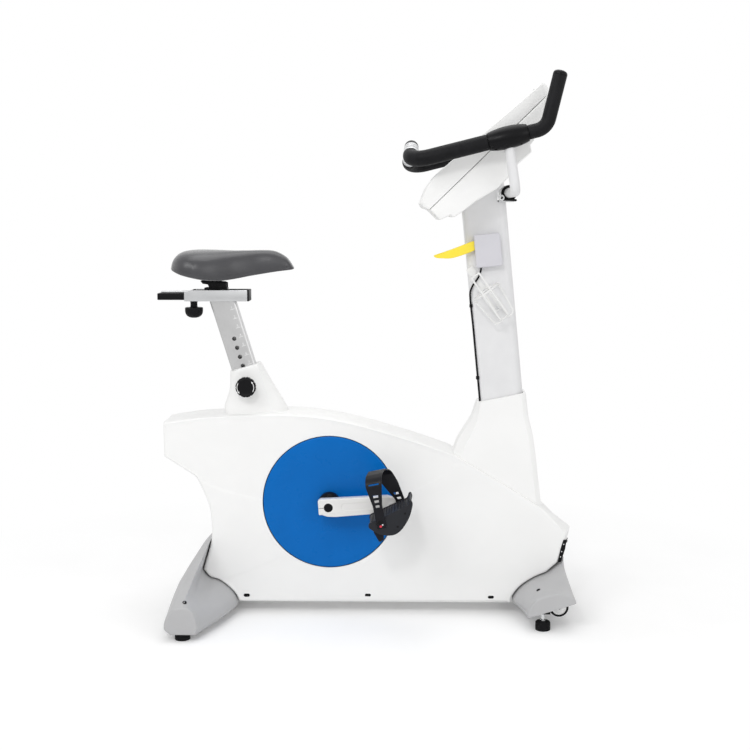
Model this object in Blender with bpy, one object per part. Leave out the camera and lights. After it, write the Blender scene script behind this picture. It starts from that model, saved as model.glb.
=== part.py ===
"""Rehabilitation ergometer: an upright pedal trainer with an adjustable seat and handlebar.

Metres, +Z up, +X towards the mast, +Y to the rider's left. The origin is on the floor, in the
middle of the machine's length and width.
"""
from math import atan2, cos, pi, radians, sin, tan

import bmesh
import bpy
from mathutils import Matrix, Vector

# Clearances
GAP = 0.0003          # between touching pieces
RUN = 0.0005          # round a turning shaft
SLIDE = 0.0004        # round a sliding section

# Casing
CASE_HALF = 0.076     # side face to the centre plane
CASE_WALL = 0.003
CASE_EDGE = 0.007     # rounded shoulder
CASE_FLOOR = 0.034    # underside above the floor
NOSE_RAKE = 0.018     # the nose is this much further forward at its centre
SIDES = (("right", -1), ("left", 1))

# Crank drive
AXLE = (-0.098, 0.315)          # crank axle, X and Z
AXLE_R = 0.0095
CRANK_LENGTH = 0.170
CRANK_ANGLE = radians(3.4)      # right crank above level
CRANK_IN = 0.120                # crank's inner face from the centre plane
CRANK_THICK = 0.025
SHELL_HALF = 0.036              # half of the bottom-bracket shell
SHELL_R = 0.0245
BEARING_R = 0.0195
BEARING_WIDTH = 0.010
FLANGE_R = 0.040
FLANGE_THICK = 0.004
DISC_R = 0.181
DISC_THICK = 0.004
DISC_RIM = 0.010
DISC_BORE = 0.026
DISC_FACE = 0.078               # outer face of the disc
DISC_GAP = 0.0022               # running gap to the casing
PULLEY_R = 0.125
PULLEY_IN = 0.045
BELT_WIDTH = 0.013
BELT_THICK = 0.003
FLYWHEEL = (0.206, 0.272)
FLYWHEEL_R = 0.130
FLYWHEEL_HALF = 0.020
HUB_R = 0.016
SHAFT_R = 0.008
FORK_IN = 0.030
FORK_THICK = 0.006

# Pedals
PEDAL_TILT = radians(25)        # toe up
PEDAL_IN = 0.158
PEDAL_WIDTH = 0.104
PEDAL_TOP = 0.011               # platform above the spindle
PEDAL_TOE = 0.0655
PEDAL_HEEL = 0.0645
PEDAL_DEEP = 0.043              # rounded belly below the spindle
SPINDLE_R = 0.006
SPINDLE_DROP = 0.0075           # spindle below the middle of the crank arm
STRAP_WIDTH = 0.041             # at the top of the loop
STRAP_THICK = 0.004
STRAP_LOW = -0.0145
STRAP_HIGH = 0.119              # top of the loop above the spindle
STRAP_LEAN = radians(14)
STRAP_SKEW = 0.057              # inner leg's foot ahead of the outer leg's

# Floor frame
BEAM_LOW = 0.086
BEAM_HIGH = 0.122
BEAM_HALF = 0.030
BEAM_WALL = 0.003
BEAM_REAR = -0.476
BEAM_FRONT = 0.500
STAB_REAR_X = -0.470
STAB_FRONT_X = 0.473
STAB_Z = 0.063                  # stabiliser tube centre above the floor
STAB_LONG = 0.036               # tube section along X
STAB_TALL = 0.034
STAB_WALL = 0.003
STAB_SHORT = 0.013              # tube end inside the foot cover's end
REAR_HALF = 0.315               # overall half width
FRONT_HALF = 0.224
REAR_FOOT_Y = REAR_HALF - 0.027
FRONT_FOOT_Y = FRONT_HALF - 0.028
FOOT_R = 0.020
FOOT_TALL = 0.016               # rear pad; the front one stands under a higher cover
FRONT_FOOT_TALL = 0.024
STUD_R = 0.005
WHEEL = (0.519, 0.051)
WHEEL_R = 0.026
WHEEL_WIDTH = 0.020
WHEEL_IN = 0.150
ARM_THICK = 0.004

# Seat
POST_TILT = radians(17)         # leans back
POST_POINT = (-0.3905, 0.856)   # a point on the post's axis
POST_DEEP = 0.068
POST_WIDE = 0.034
POST_WALL = 0.003
POST_LOW = 0.405                # lower end at rest
SEAT_TUBE_WALL = 0.003
PIN_HEIGHT = 0.632
SEAT_TUBE_TOP = PIN_HEIGHT + 0.013
PIN_R = 0.0055
PIN_TIP = POST_WIDE / 2 + 0.0008   # drawn clear of the post, so that the seat slides
PIN_PITCH = 0.026               # between height holes
PIN_HOLES_UP = 5                # holes above the pin at rest
PIN_HOLES_DOWN = 4
PIN_BOSS_R = 0.010
PIN_BOSS_END = 0.060            # boss outer end from the centre plane
KNOB_R = 0.0275
KNOB_FACE = 0.094               # outer face from the centre plane
KNOB_THICK = 0.020
COVER_WALL = 0.003
RAIL_REAR = -0.493
RAIL_FRONT = -0.317
RAIL_LOW = 0.859
RAIL_TALL = 0.031
RAIL_HALF = 0.030
RAIL_WALL = 0.003
SLIDER_REAR = -0.567
SLIDER_FRONT = -0.380
SLIDER_STEP = 0.006             # top strip of the slider
CLAMP_KNOB_X = -0.4715
CLAMP_KNOB_R = 0.0245
CLAMP_KNOB_LOW = 0.812
CLAMP_KNOB_TALL = 0.029
CLAMP_STEM_R = 0.0055
TILT = (-0.413, 0.906)          # saddle tilt bolt, X and Z
TILT_R = 0.005
EAR_R = 0.009
EAR_IN = 0.0135
EAR_THICK = 0.0065
PAN_THICK = 0.005
PAN_REAR = (-0.495, 0.9405)     # top of the saddle's base pan, X and Z
PAN_NOSE = (-0.240, 0.9475)

# Mast
MAST_TILT = radians(5.75)       # leans back
MAST_POINT = (0.3699, 0.600)
MAST_DEEP = 0.119
MAST_WIDE = 0.070
MAST_WALL = 0.004
MAST_LOW = 0.345
MAST_TOP = 1.126                # level seat of the pivot bracket
UPRIGHT_TOP = 0.440

# Console
CONSOLE_HALF = 0.175
CONSOLE_WALL = 0.003
CONSOLE_CORNER = 0.019          # corner radius seen square to the screen
SCREEN_THICK = 0.003
SCREEN_LOW = 0.0125             # panel ends, up the screen from its foot
SCREEN_HIGH = 0.330

# Handlebar
PIVOT = (0.383, MAST_TOP + 0.024)
TUBE_R = 0.013
GRIP_R = 0.018
BAR_GRIP_R = 0.020
BAR_HALF = 0.235                # side tubes from the centre plane
STEM_HALF = BAR_HALF - 0.009
SENSOR_HALF = BAR_HALF - 0.053
BRACKET_R = 0.021
BRACKET_HALF = 0.034
LEVER = (0.362, MAST_TOP + 0.011)


def remove_everything():
    for thing in list(bpy.data.objects):
        bpy.data.objects.remove(thing, do_unlink=True)


def finish(name, colour, roughness, metallic=0.0):
    made = bpy.data.materials.new(name)
    made.use_nodes = True
    shader = made.node_tree.nodes["Principled BSDF"]
    shader.inputs["Base Color"].default_value = (*colour, 1.0)
    shader.inputs["Roughness"].default_value = roughness
    shader.inputs["Metallic"].default_value = metallic
    return made


def solid(name, mesh_maker, look, pivot=(0.0, 0.0, 0.0)):
    """Make an object from a bmesh in world coordinates, with its origin at the pivot."""
    bmesh.ops.remove_doubles(mesh_maker, verts=mesh_maker.verts, dist=1e-6)
    bmesh.ops.recalc_face_normals(mesh_maker, faces=mesh_maker.faces)
    bmesh.ops.translate(mesh_maker, verts=mesh_maker.verts, vec=-Vector(pivot))
    mesh = bpy.data.meshes.new(name)
    mesh_maker.to_mesh(mesh)
    mesh_maker.free()
    mesh.shade_smooth()
    mesh.set_sharp_from_angle(angle=radians(35))
    made = bpy.data.objects.new(name, mesh)
    made.location = pivot
    bpy.context.scene.collection.objects.link(made)
    if look:
        mesh.materials.append(look)
    return made


def combine(target, tool, operation):
    """Cut the tool from the target, or join it on; the tool itself is left out of the part."""
    tool.hide_render = True
    tool.display_type = "WIRE"
    step = target.modifiers.new(operation.lower(), "BOOLEAN")
    step.operation = operation
    step.object = tool
    step.solver = "EXACT"


def cut(target, *tools):
    for tool in tools:
        combine(target, tool, "DIFFERENCE")


def join(target, *tools):
    for tool in tools:
        combine(target, tool, "UNION")


def ring_faces(maker, rings, closed=False):
    """Skin a list of vertex rings with quads."""
    pairs = list(zip(rings, rings[1:]))
    if closed:
        pairs.append((rings[-1], rings[0]))
    for low, high in pairs:
        count = len(low)
        for i in range(count):
            j = (i + 1) % count
            maker.faces.new((low[i], low[j], high[j], high[i]))


def loft(sections):
    """Closed solid through sections of equal point count, capped at both ends."""
    maker = bmesh.new()
    rings = [[maker.verts.new(point) for point in section] for section in sections]
    ring_faces(maker, rings)
    maker.faces.new(rings[0])
    maker.faces.new(rings[-1])
    return maker


def faceted(maker):
    """Split faces that aren't flat into triangles, so that cuts meet them cleanly."""
    bmesh.ops.triangulate(maker, faces=maker.faces, quad_method="FIXED", ngon_method="EAR_CLIP")
    return maker


def profile_block(outline, y_low, y_high):
    """Solid with an outline in the XZ plane, from one Y to another."""
    return loft([[(x, y, z) for x, z in outline] for y in (y_low, y_high)])


def box(low, high):
    maker = bmesh.new()
    bmesh.ops.create_cube(maker, size=1.0)
    size = [b - a for a, b in zip(low, high)]
    centre = [(a + b) / 2 for a, b in zip(low, high)]
    bmesh.ops.scale(maker, verts=maker.verts, vec=size)
    bmesh.ops.translate(maker, verts=maker.verts, vec=centre)
    return maker


def turned(profile, centre, axis, steps):
    """Turn a closed profile of (radius, distance along the axis) about a world axis."""
    maker = bmesh.new()
    place = Matrix.Translation(centre) @ Vector(axis).to_track_quat("Z", "Y").to_matrix().to_4x4()
    turns = [2 * pi * k / steps for k in range(steps)]
    rings = []
    for radius, along in profile:
        if radius < 1e-7:
            rings.append([maker.verts.new(place @ Vector((0, 0, along)))])
        else:
            rings.append([maker.verts.new(place @ Vector((radius * cos(t), radius * sin(t), along)))
                          for t in turns])
    for low, high in zip(rings, rings[1:] + rings[:1]):
        if len(low) == 1 and len(high) == 1:
            continue
        for i in range(steps):
            j = (i + 1) % steps
            corners = (low[i % len(low)], low[j % len(low)], high[j % len(high)], high[i % len(high)])
            maker.faces.new(tuple(dict.fromkeys(corners)))
    return maker


def cylinder(radius, start, end, steps):
    start, end = Vector(start), Vector(end)
    length = (end - start).length
    return turned([(0, 0), (radius, 0), (radius, length), (0, length)], start, end - start, steps)


def across(point, y):
    """A point of the XZ plane at one Y."""
    return (point[0], y, point[1])


def spline(points, steps):
    """Smooth curve through points, with the same number of steps in each span."""
    known = [Vector(p) for p in points]
    first = known[0] * 2 - known[1]
    last = known[-1] * 2 - known[-2]
    known = [first] + known + [last]
    curve = []
    for a, b, c, d in zip(known, known[1:], known[2:], known[3:]):
        for k in range(steps):
            t = k / steps
            curve.append(0.5 * (2 * b + (c - a) * t + (2 * a - 5 * b + 4 * c - d) * t ** 2
                                + (3 * b - a - 3 * c + d) * t ** 3))
    curve.append(known[-2])
    return curve


def rounded(points, radii, steps):
    """Open path of straight runs whose inner corners are arcs of the given radii."""
    known = [Vector(p) for p in points]
    path = [known[0]]
    for before, corner, after, radius in zip(known, known[1:], known[2:], radii):
        to_before = (before - corner).normalized()
        to_after = (after - corner).normalized()
        half = to_before.angle(to_after) / 2
        reach = radius / tan(half)
        centre = corner + (to_before + to_after).normalized() * (radius / sin(half))
        start = corner + to_before * reach - centre
        end = corner + to_after * reach - centre
        sweep = start.angle(end)
        for k in range(steps + 1):
            share = k / steps
            mixed = (start * sin((1 - share) * sweep) + end * sin(share * sweep)) / sin(sweep)
            path.append(centre + mixed)
    path.append(known[-1])
    return path


def frames_along(path):
    """Upright cross directions at each point of a path, turned as little as possible."""
    tangents = []
    for i, point in enumerate(path):
        before = path[max(i - 1, 0)]
        after = path[min(i + 1, len(path) - 1)]
        tangents.append((after - before).normalized())
    side = tangents[0].orthogonal().normalized()
    frames = []
    for k, tangent in enumerate(tangents):
        if k:
            side = tangents[k - 1].rotation_difference(tangent) @ side
        side = (side - tangent * side.dot(tangent)).normalized()
        frames.append((side, tangent.cross(side)))
    return frames


def tube(path, radius, sides, bore=None, dome=False):
    """Round bar along a path, or a sleeve if it has a bore. A dome rounds its far end."""
    path = [Vector(p) for p in path]
    frames = frames_along(path)
    turns = [2 * pi * k / sides for k in range(sides)]
    maker = bmesh.new()

    def ring(point, frame, size):
        return [maker.verts.new(point + size * (frame[0] * cos(t) + frame[1] * sin(t))) for t in turns]

    outer = [ring(p, f, radius) for p, f in zip(path, frames)]
    if dome:
        ahead = (path[-1] - path[-2]).normalized()
        for share in (0.45, 0.8):
            lift = radius * 0.55 * share
            outer.append(ring(path[-1] + ahead * lift, frames[-1], radius * (1 - 0.42 * share ** 2)))
    if not bore:
        ring_faces(maker, outer)
        maker.faces.new(outer[0])
        maker.faces.new(outer[-1])
        return maker
    inner = [ring(p, f, bore) for p, f in zip(path, frames)]
    if not dome:
        ring_faces(maker, outer + inner[::-1], closed=True)
        return maker
    ring_faces(maker, inner[::-1] + outer)
    maker.faces.new(inner[-1])
    maker.faces.new(outer[-1])
    return maker


def inset_outline(outline, depth):
    """Move each side of a closed outline inwards by a depth."""
    count = len(outline)
    area = sum(a[0] * b[1] - b[0] * a[1] for a, b in zip(outline, outline[1:] + outline[:1]))
    turn = 1.0 if area > 0 else -1.0
    moved = []
    for i in range(count):
        a, b, c = (Vector(outline[k % count]) for k in (i - 1, i, i + 1))
        first = (b - a).normalized()
        second = (c - b).normalized()
        normal_1 = Vector((-first.y, first.x)) * turn
        normal_2 = Vector((-second.y, second.x)) * turn
        middle = (normal_1 + normal_2).normalized()
        moved.append(tuple(b + middle * (depth / max(middle.dot(normal_1), 0.35))))
    return moved


def oblong(length, width, corner, steps):
    """Rounded rectangle about the origin, as (along, across) pairs."""
    points = []
    for sx, sy, start in ((1, 1, 0.0), (-1, 1, pi / 2), (-1, -1, pi), (1, -1, 1.5 * pi)):
        for k in range(steps + 1):
            t = start + pi / 2 * k / steps
            points.append((sx * (length / 2 - corner) + corner * cos(t),
                           sy * (width / 2 - corner) + corner * sin(t)))
    return points


def leaning(point, tilt, height):
    """X on an axis that leans back through a point, at a height."""
    return point[0] - (height - point[1]) * tan(tilt)


def leaning_section(section, point, tilt, height, slope=0.0):
    """Ring of a column that leans back, cut at a height by a plane that rises by slope along X."""
    ring = []
    for along, sideways in section:
        x = leaning(point, tilt, height) + along / cos(tilt)
        rise = (x - leaning(point, tilt, height)) * slope
        ring.append((x - rise * tan(tilt), sideways, height + rise))
    return ring


def leaning_tube(outer, inner, point, tilt, low, high):
    """Hollow column between two level cuts, open at both ends."""
    maker = bmesh.new()
    rings = []
    for section, heights in ((outer, (low, high)), (inner, (high, low))):
        for height in heights:
            rings.append([maker.verts.new(p) for p in leaning_section(section, point, tilt, height)])
    ring_faces(maker, rings, closed=True)
    return maker


CASE_BACK = [(p.x, p.z) for p in
             spline([(-0.549, 0, 0.533), (-0.470, 0, 0.545), (-0.386, 0, 0.552), (-0.300, 0, 0.556),
                     (-0.223, 0, 0.557), (-0.130, 0, 0.551), (-0.020, 0, 0.530), (0.116, 0, 0.491),
                     (0.230, 0, 0.452)], 2)] + [(0.361, 0.374), (0.483, 0.298)]


def case_outline(nose_shift):
    """Side outline of the casing, from the tail's top corner over the back to the nose and round."""
    nose = [(0.549 + nose_shift, 0.232), (0.545 + nose_shift, 0.212), (0.526 + nose_shift, 0.150)]
    front_arch = spline([(0.494, 0, 0.121), (0.462, 0, 0.107), (0.426, 0, 0.083),
                         (0.403, 0, 0.054), (0.399, 0, CASE_FLOOR)], 2)
    rear_arch = spline([(-0.348, 0, CASE_FLOOR), (-0.364, 0, 0.062), (-0.400, 0, 0.093),
                        (-0.428, 0, 0.103), (-0.446, 0, 0.124)], 2)
    waist = spline([(-0.442, 0, 0.141), (-0.424, 0, 0.203), (-0.422, 0, 0.248),
                    (-0.429, 0, 0.306), (-0.456, 0, 0.371), (-0.468, 0, 0.387)], 2)
    flat = [[(p.x, p.z) for p in run] for run in (front_arch, rear_arch, waist)]
    return CASE_BACK + nose + flat[0] + flat[1] + flat[2] + [(-0.549, 0.440)]


def casing_room(name, deep):
    """Everything below the casing's top, raised by the gap: trims a cover that stands on it."""
    line = [(x, z + GAP) for x, z in CASE_BACK + [(0.549, 0.232)]]
    return solid(name, profile_block(line + [(0.549, -deep), (-0.549, -deep)], -0.12, 0.12), None)


def casing(name, side, white):
    full = case_outline(0.0)
    seam = case_outline(NOSE_RAKE)
    rims = [(GAP / 2, seam, 0.0), (CASE_HALF - CASE_EDGE, full, 0.0),
            (CASE_HALF - CASE_EDGE * 0.3, full, CASE_EDGE * 0.3), (CASE_HALF, full, CASE_EDGE)]
    shell = solid(name, loft([[(x, side * y, z) for x, z in (inset_outline(line, depth) if depth else line)]
                              for y, line, depth in rims]), white)
    hollow = [(-0.010, inset_outline(seam, CASE_WALL)),
              (CASE_HALF - CASE_EDGE, inset_outline(full, CASE_WALL)),
              (CASE_HALF - CASE_WALL, inset_outline(full, CASE_WALL + CASE_EDGE * 0.6))]
    cut(shell,
        solid(name + "_hollow", loft([[(x, side * y, z) for x, z in line] for y, line in hollow]), None))
    cut(shell, solid(name + "_disc_hole",
                     cylinder(DISC_R + DISC_GAP, across(AXLE, side * 0.060), across(AXLE, side * 0.090), 56),
                     None))
    seat_x = leaning(POST_POINT, POST_TILT, 0.555)
    openings = {
        "seat": ((seat_x - 0.048, -0.030, 0.500), (seat_x + 0.048, 0.030, 0.600)),
        "mast": ((0.246, -0.042, 0.280), (0.474, 0.042, 0.460)),
        "front_beam": ((0.390, -BEAM_HALF - 0.003, 0.020), (0.520, BEAM_HALF + 0.003, BEAM_HIGH + 0.004)),
        "rear_beam": ((-0.470, -BEAM_HALF - 0.003, 0.020), (-0.380, BEAM_HALF + 0.003, BEAM_HIGH + 0.004)),
    }
    for place, (low, high) in openings.items():
        cut(shell, solid(name + "_" + place + "_opening", box(low, high), None))
    return shell


# Floor frame

def stabiliser(name, centre_x, half, steel, foot_y):
    """Box tube across the machine, with holes for the levelling feet's studs."""
    low = (centre_x - STAB_LONG / 2, -half, STAB_Z - STAB_TALL / 2)
    high = (centre_x + STAB_LONG / 2, half, STAB_Z + STAB_TALL / 2)
    tube_made = solid(name, box(low, high), steel)
    inner_low = (low[0] + STAB_WALL, -half - 0.01, low[2] + STAB_WALL)
    inner_high = (high[0] - STAB_WALL, half + 0.01, high[2] - STAB_WALL)
    cut(tube_made, solid(name + "_hollow", box(inner_low, inner_high), None))
    for label, side in SIDES:
        hole = cylinder(STUD_R + RUN, (centre_x, side * foot_y, low[2] - 0.005),
                        (centre_x, side * foot_y, low[2] + 0.008), 12)
        cut(tube_made, solid(f"{name}_stud_hole_{label}", hole, None))
    return tube_made


def wheel_arms(tube_made, steel):
    """Arms and pins on the front stabiliser that carry the transport wheels."""
    front = STAB_FRONT_X + STAB_LONG / 2
    for label, side in SIDES:
        inner = WHEEL_IN - ARM_THICK - 2 * RUN
        arm = box((front - 0.002, min(side * inner, side * (inner + ARM_THICK)), WHEEL[1] - 0.004),
                  (WHEEL[0] + 0.009, max(side * inner, side * (inner + ARM_THICK)), WHEEL[1] + 0.012))
        pin = cylinder(0.004, across(WHEEL, side * (inner + 0.001)),
                       across(WHEEL, side * (WHEEL_IN + WHEEL_WIDTH + 0.003)), 12)
        join(tube_made, solid(f"wheel_arm_{label}", arm, steel), solid(f"wheel_pin_{label}", pin, steel))


def levelling_foot(name, centre_x, y, tall, rubber):
    top = STAB_Z - STAB_TALL / 2 + 0.006
    profile = [(0, 0), (FOOT_R - 0.0015, 0), (FOOT_R, 0.0015), (FOOT_R, tall - 0.004),
               (FOOT_R - 0.003, tall), (0.008, tall), (0.008, tall + 0.005),
               (STUD_R, tall + 0.005), (STUD_R, top), (0, top)]
    return solid(name, turned(profile, (centre_x, y, 0), (0, 0, 1), 16), rubber, (centre_x, y, 0))


def transport_wheel(name, side, rubber):
    half = WHEEL_WIDTH / 2
    bore = 0.004 + RUN
    profile = [(bore, -half), (0.010, -half), (0.019, -half + 0.003), (0.021, -half),
               (WHEEL_R - 0.003, -half), (WHEEL_R, -half + 0.004), (WHEEL_R, half - 0.004),
               (WHEEL_R - 0.003, half), (0.021, half), (0.019, half - 0.003), (0.010, half), (bore, half)]
    centre = across(WHEEL, side * (WHEEL_IN + half))
    return solid(name, turned(profile, centre, (0, 1, 0), 20), rubber, centre)


REAR_COVER_INNER = [(-0.500, 0.020), (-0.519, 0.045), (-0.517, 0.080), (-0.492, 0.122), (-0.460, 0.170),
                    (-0.427, 0.204), (-0.4450, 0.142), (-0.4488, 0.1225), (-0.4300, 0.1008),
                    (-0.4012, 0.0908), (-0.3665, 0.0605), (-0.3525, 0.030), (-0.360, 0.020)]
REAR_COVER_OUTER = [(-0.498, 0.018), (-0.514, 0.033), (-0.511, 0.058), (-0.500, 0.078), (-0.486, 0.089),
                    (-0.468, 0.093), (-0.452, 0.090), (-0.442, 0.083), (-0.435, 0.073),
                    (-0.431, 0.060), (-0.428, 0.045), (-0.428, 0.030), (-0.434, 0.018)]
FRONT_COVER_INNER = [(0.537, 0.150), (0.550, 0.110), (0.552, 0.075), (0.540, 0.048), (0.520, 0.040),
                     (0.480, 0.036), (0.425, 0.036), (0.4050, 0.038), (0.4078, 0.0528),
                     (0.4290, 0.0802), (0.4632, 0.1036), (0.4955, 0.1172), (0.5150, 0.1305)]
FRONT_COVER_CENTRE_SHIFT = 0.014
FRONT_COVER_OUTER = [(0.548, 0.098), (0.556, 0.086), (0.556, 0.070), (0.545, 0.052), (0.520, 0.044),
                     (0.484, 0.040), (0.450, 0.038), (0.432, 0.040), (0.430, 0.052),
                     (0.437, 0.070), (0.454, 0.089), (0.485, 0.102), (0.520, 0.106)]


def mix(first, second, share):
    return [(a[0] + (b[0] - a[0]) * share, a[1] + (b[1] - a[1]) * share) for a, b in zip(first, second)]


def foot_cover(name, side, centre, inner, outer, half, shares, grey):
    """Moulded cover from the casing's middle out to the end of a stabiliser."""
    start = CASE_HALF + 0.004
    end_face = inset_outline(outer, 0.006)
    sections = [(GAP / 2, centre), (start, inner)]
    sections += [(start + (half - 0.006 - start) * along, mix(inner, outer, share))
                 for along, share in shares]
    sections += [(half, end_face)]
    return solid(name, loft([[(x, side * y, z) for x, z in line] for y, line in sections]), grey)


def rear_foot_cover(name, side, grey):
    shares = ((0.25, 0.42), (0.50, 0.72), (0.75, 0.90), (1.0, 1.0))
    cover = foot_cover(name, side, REAR_COVER_INNER, REAR_COVER_INNER, REAR_COVER_OUTER, REAR_HALF, shares,
                       grey)
    open_round_frame(cover, side, STAB_REAR_X, REAR_HALF - STAB_SHORT, REAR_FOOT_Y)
    return cover


def front_foot_cover(name, side, grey):
    tip, rest = FRONT_COVER_INNER[0], FRONT_COVER_INNER[1:]
    centre = [(tip[0] + FRONT_COVER_CENTRE_SHIFT, tip[1] - 0.006)] + rest
    shares = ((0.35, 0.45), (0.70, 0.80), (1.0, 1.0))
    cover = foot_cover(name, side, centre, FRONT_COVER_INNER, FRONT_COVER_OUTER, FRONT_HALF, shares, grey)
    open_round_frame(cover, side, STAB_FRONT_X, FRONT_HALF - STAB_SHORT, FRONT_FOOT_Y)
    inner = WHEEL_IN - ARM_THICK - 0.004
    outer = WHEEL_IN + WHEEL_WIDTH + 0.006
    reach = WHEEL_R + 0.003
    pocket = box((STAB_FRONT_X, min(side * inner, side * outer), -0.010),
                 (WHEEL[0] + reach, max(side * inner, side * outer), WHEEL[1] + reach))
    cut(cover, solid(name + "_wheel_pocket", pocket, None))
    return cover


def open_round_frame(cover, side, centre_x, tube_end, foot_y):
    """Make room in a foot cover for the stabiliser, the floor beam and the foot's stud."""
    low = (centre_x - STAB_LONG / 2 - GAP, -0.01, STAB_Z - STAB_TALL / 2 - GAP)
    high = (centre_x + STAB_LONG / 2 + GAP, tube_end + GAP, STAB_Z + STAB_TALL / 2 + GAP)
    tunnel = box((low[0], min(side * low[1], side * high[1]), low[2]),
                 (high[0], max(side * low[1], side * high[1]), high[2]))
    beam = box((-0.60 if centre_x < 0 else 0.30, -BEAM_HALF - 0.001, STAB_Z),
               (-0.30 if centre_x < 0 else BEAM_FRONT + 0.004, BEAM_HALF + 0.001, BEAM_HIGH + 0.001))
    if centre_x < 0:
        for vertex in beam.verts:
            vertex.co.x = max(vertex.co.x, BEAM_REAR - 0.004)
    stud = cylinder(0.010, (centre_x, side * foot_y, 0.0), (centre_x, side * foot_y, STAB_Z), 16)
    cut(cover, solid(cover.name + "_tunnel", tunnel, None), solid(cover.name + "_beam_way", beam, None),
        solid(cover.name + "_stud_way", stud, None))


# Welded frame

PIN_X = leaning(POST_POINT, POST_TILT, PIN_HEIGHT)
UPRIGHT_SIZE = (MAST_DEEP - 2 * (MAST_WALL + SLIDE), MAST_WIDE - 2 * (MAST_WALL + SLIDE))
COIL_TOP = FLYWHEEL[1] + FLYWHEEL_R + 0.028


def main_frame(steel):
    beam = solid("main_frame", box((BEAM_REAR, -BEAM_HALF, BEAM_LOW), (BEAM_FRONT, BEAM_HALF, BEAM_HIGH)),
                 steel)
    cut(beam, solid("beam_hollow", box((BEAM_REAR - 0.01, -BEAM_HALF + BEAM_WALL, BEAM_LOW + BEAM_WALL),
                                       (BEAM_FRONT + 0.01, BEAM_HALF - BEAM_WALL, BEAM_HIGH - BEAM_WALL)),
                    None))
    for label, x in (("rear", STAB_REAR_X), ("front", STAB_FRONT_X)):
        end = BEAM_REAR if x < 0 else BEAM_FRONT
        low_x, high_x = (end, x + STAB_LONG / 2) if x < 0 else (x - STAB_LONG / 2, x + STAB_LONG / 2)
        saddle = box((low_x, -BEAM_HALF + 0.004, STAB_Z + STAB_TALL / 2 + GAP), (high_x, BEAM_HALF - 0.004,
                                                                             BEAM_LOW + 0.001))
        join(beam, solid(f"{label}_seat", saddle, steel))
    tube_outer = oblong(POST_DEEP + 2 * (SLIDE + SEAT_TUBE_WALL), POST_WIDE + 2 * (SLIDE + SEAT_TUBE_WALL),
                        0.010, 3)
    tube_inner = oblong(POST_DEEP + 2 * SLIDE, POST_WIDE + 2 * SLIDE, 0.0075, 3)
    seat_tube = leaning_tube(tube_outer, tube_inner, POST_POINT, POST_TILT, BEAM_HIGH - 0.001, SEAT_TUBE_TOP)
    boss = cylinder(PIN_BOSS_R, (PIN_X, -POST_WIDE / 2 - SLIDE - 0.0005, PIN_HEIGHT),
                    (PIN_X, -PIN_BOSS_END, PIN_HEIGHT), 16)
    shell = cylinder(SHELL_R, across(AXLE, -SHELL_HALF), across(AXLE, SHELL_HALF), 20)
    stay = box((AXLE[0] - 0.020, -0.018, BEAM_HIGH - 0.001),
               (AXLE[0] + 0.020, 0.018, AXLE[1] - SHELL_R + 0.004))
    seat_front = leaning(POST_POINT, POST_TILT, AXLE[1]) + POST_DEEP / 2 / cos(POST_TILT)
    slant = 0.014 * tan(POST_TILT)
    brace_rear = seat_front + SEAT_TUBE_WALL - 0.0010
    brace_front = AXLE[0] - SHELL_R + 0.004
    brace = profile_block([(brace_rear + slant, AXLE[1] - 0.014), (brace_front, AXLE[1] - 0.014),
                           (brace_front, AXLE[1] + 0.014), (brace_rear - slant, AXLE[1] + 0.014)],
                          -0.015, 0.015)
    upright = leaning_tube(oblong(*UPRIGHT_SIZE, 0.0115, 2),
                           oblong(UPRIGHT_SIZE[0] - 0.006, UPRIGHT_SIZE[1] - 0.006, 0.0085, 2),
                           MAST_POINT, MAST_TILT, BEAM_HIGH - 0.001, UPRIGHT_TOP)
    join(beam, solid("seat_tube", seat_tube, steel), solid("pin_boss", boss, steel),
         solid("axle_shell", shell, steel), solid("axle_stay", stay, steel),
         solid("axle_brace", brace, steel),
         solid("mast_upright", upright, steel))
    for label, side in SIDES:
        near = side * (FORK_IN - 0.001 if FORK_IN <= BEAM_HALF else FORK_IN)
        far = side * (FORK_IN + FORK_THICK)
        plate = box((FLYWHEEL[0] - 0.020, min(near, far), BEAM_LOW + 0.004),
                    (FLYWHEEL[0] + 0.020, max(near, far), FLYWHEEL[1] + 0.020))
        join(beam, solid("fork_plate_" + label, plate, steel))
    arm_rear = FLYWHEEL[0] - 0.045
    arm_front = leaning(MAST_POINT, MAST_TILT, COIL_TOP) - UPRIGHT_SIZE[0] / 2 + 0.002
    arm = box((arm_rear, -0.020, COIL_TOP + GAP), (arm_front, 0.020, COIL_TOP + GAP + 0.006))
    join(beam, solid("coil_arm", arm, steel))
    cut(beam,
        solid("axle_bore", cylinder(BEARING_R + GAP, across(AXLE, -0.06), across(AXLE, 0.06), 20), None))
    cut(beam,
        solid("shaft_bore", cylinder(SHAFT_R + RUN, across(FLYWHEEL, -0.06), across(FLYWHEEL, 0.06), 16),
                    None))
    cut(beam, solid("pin_bore", cylinder(PIN_R + RUN, (PIN_X, -PIN_BOSS_END - 0.005, PIN_HEIGHT),
                                         (PIN_X, -POST_WIDE / 2 + 0.004, PIN_HEIGHT), 12), None))
    return beam


# Drive

def crank_axle(steel):
    disc_in = DISC_FACE - DISC_THICK
    flange_out = disc_in - GAP
    flange_in = flange_out - FLANGE_THICK
    sleeve_r = DISC_BORE - RUN
    half = [(AXLE_R, flange_in), (FLANGE_R, flange_in), (FLANGE_R, flange_out), (sleeve_r, flange_out),
            (sleeve_r, DISC_FACE + 0.012), (0.020, CRANK_IN - 0.004), (AXLE_R, CRANK_IN - 0.004),
            (AXLE_R, CRANK_IN + CRANK_THICK - 0.003), (0, CRANK_IN + CRANK_THICK - 0.003)]
    profile = [(r, -y) for r, y in half[::-1]] + half
    return solid("crank_axle", turned(profile, across(AXLE, 0), (0, 1, 0), 20), steel, across(AXLE, 0))


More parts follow.
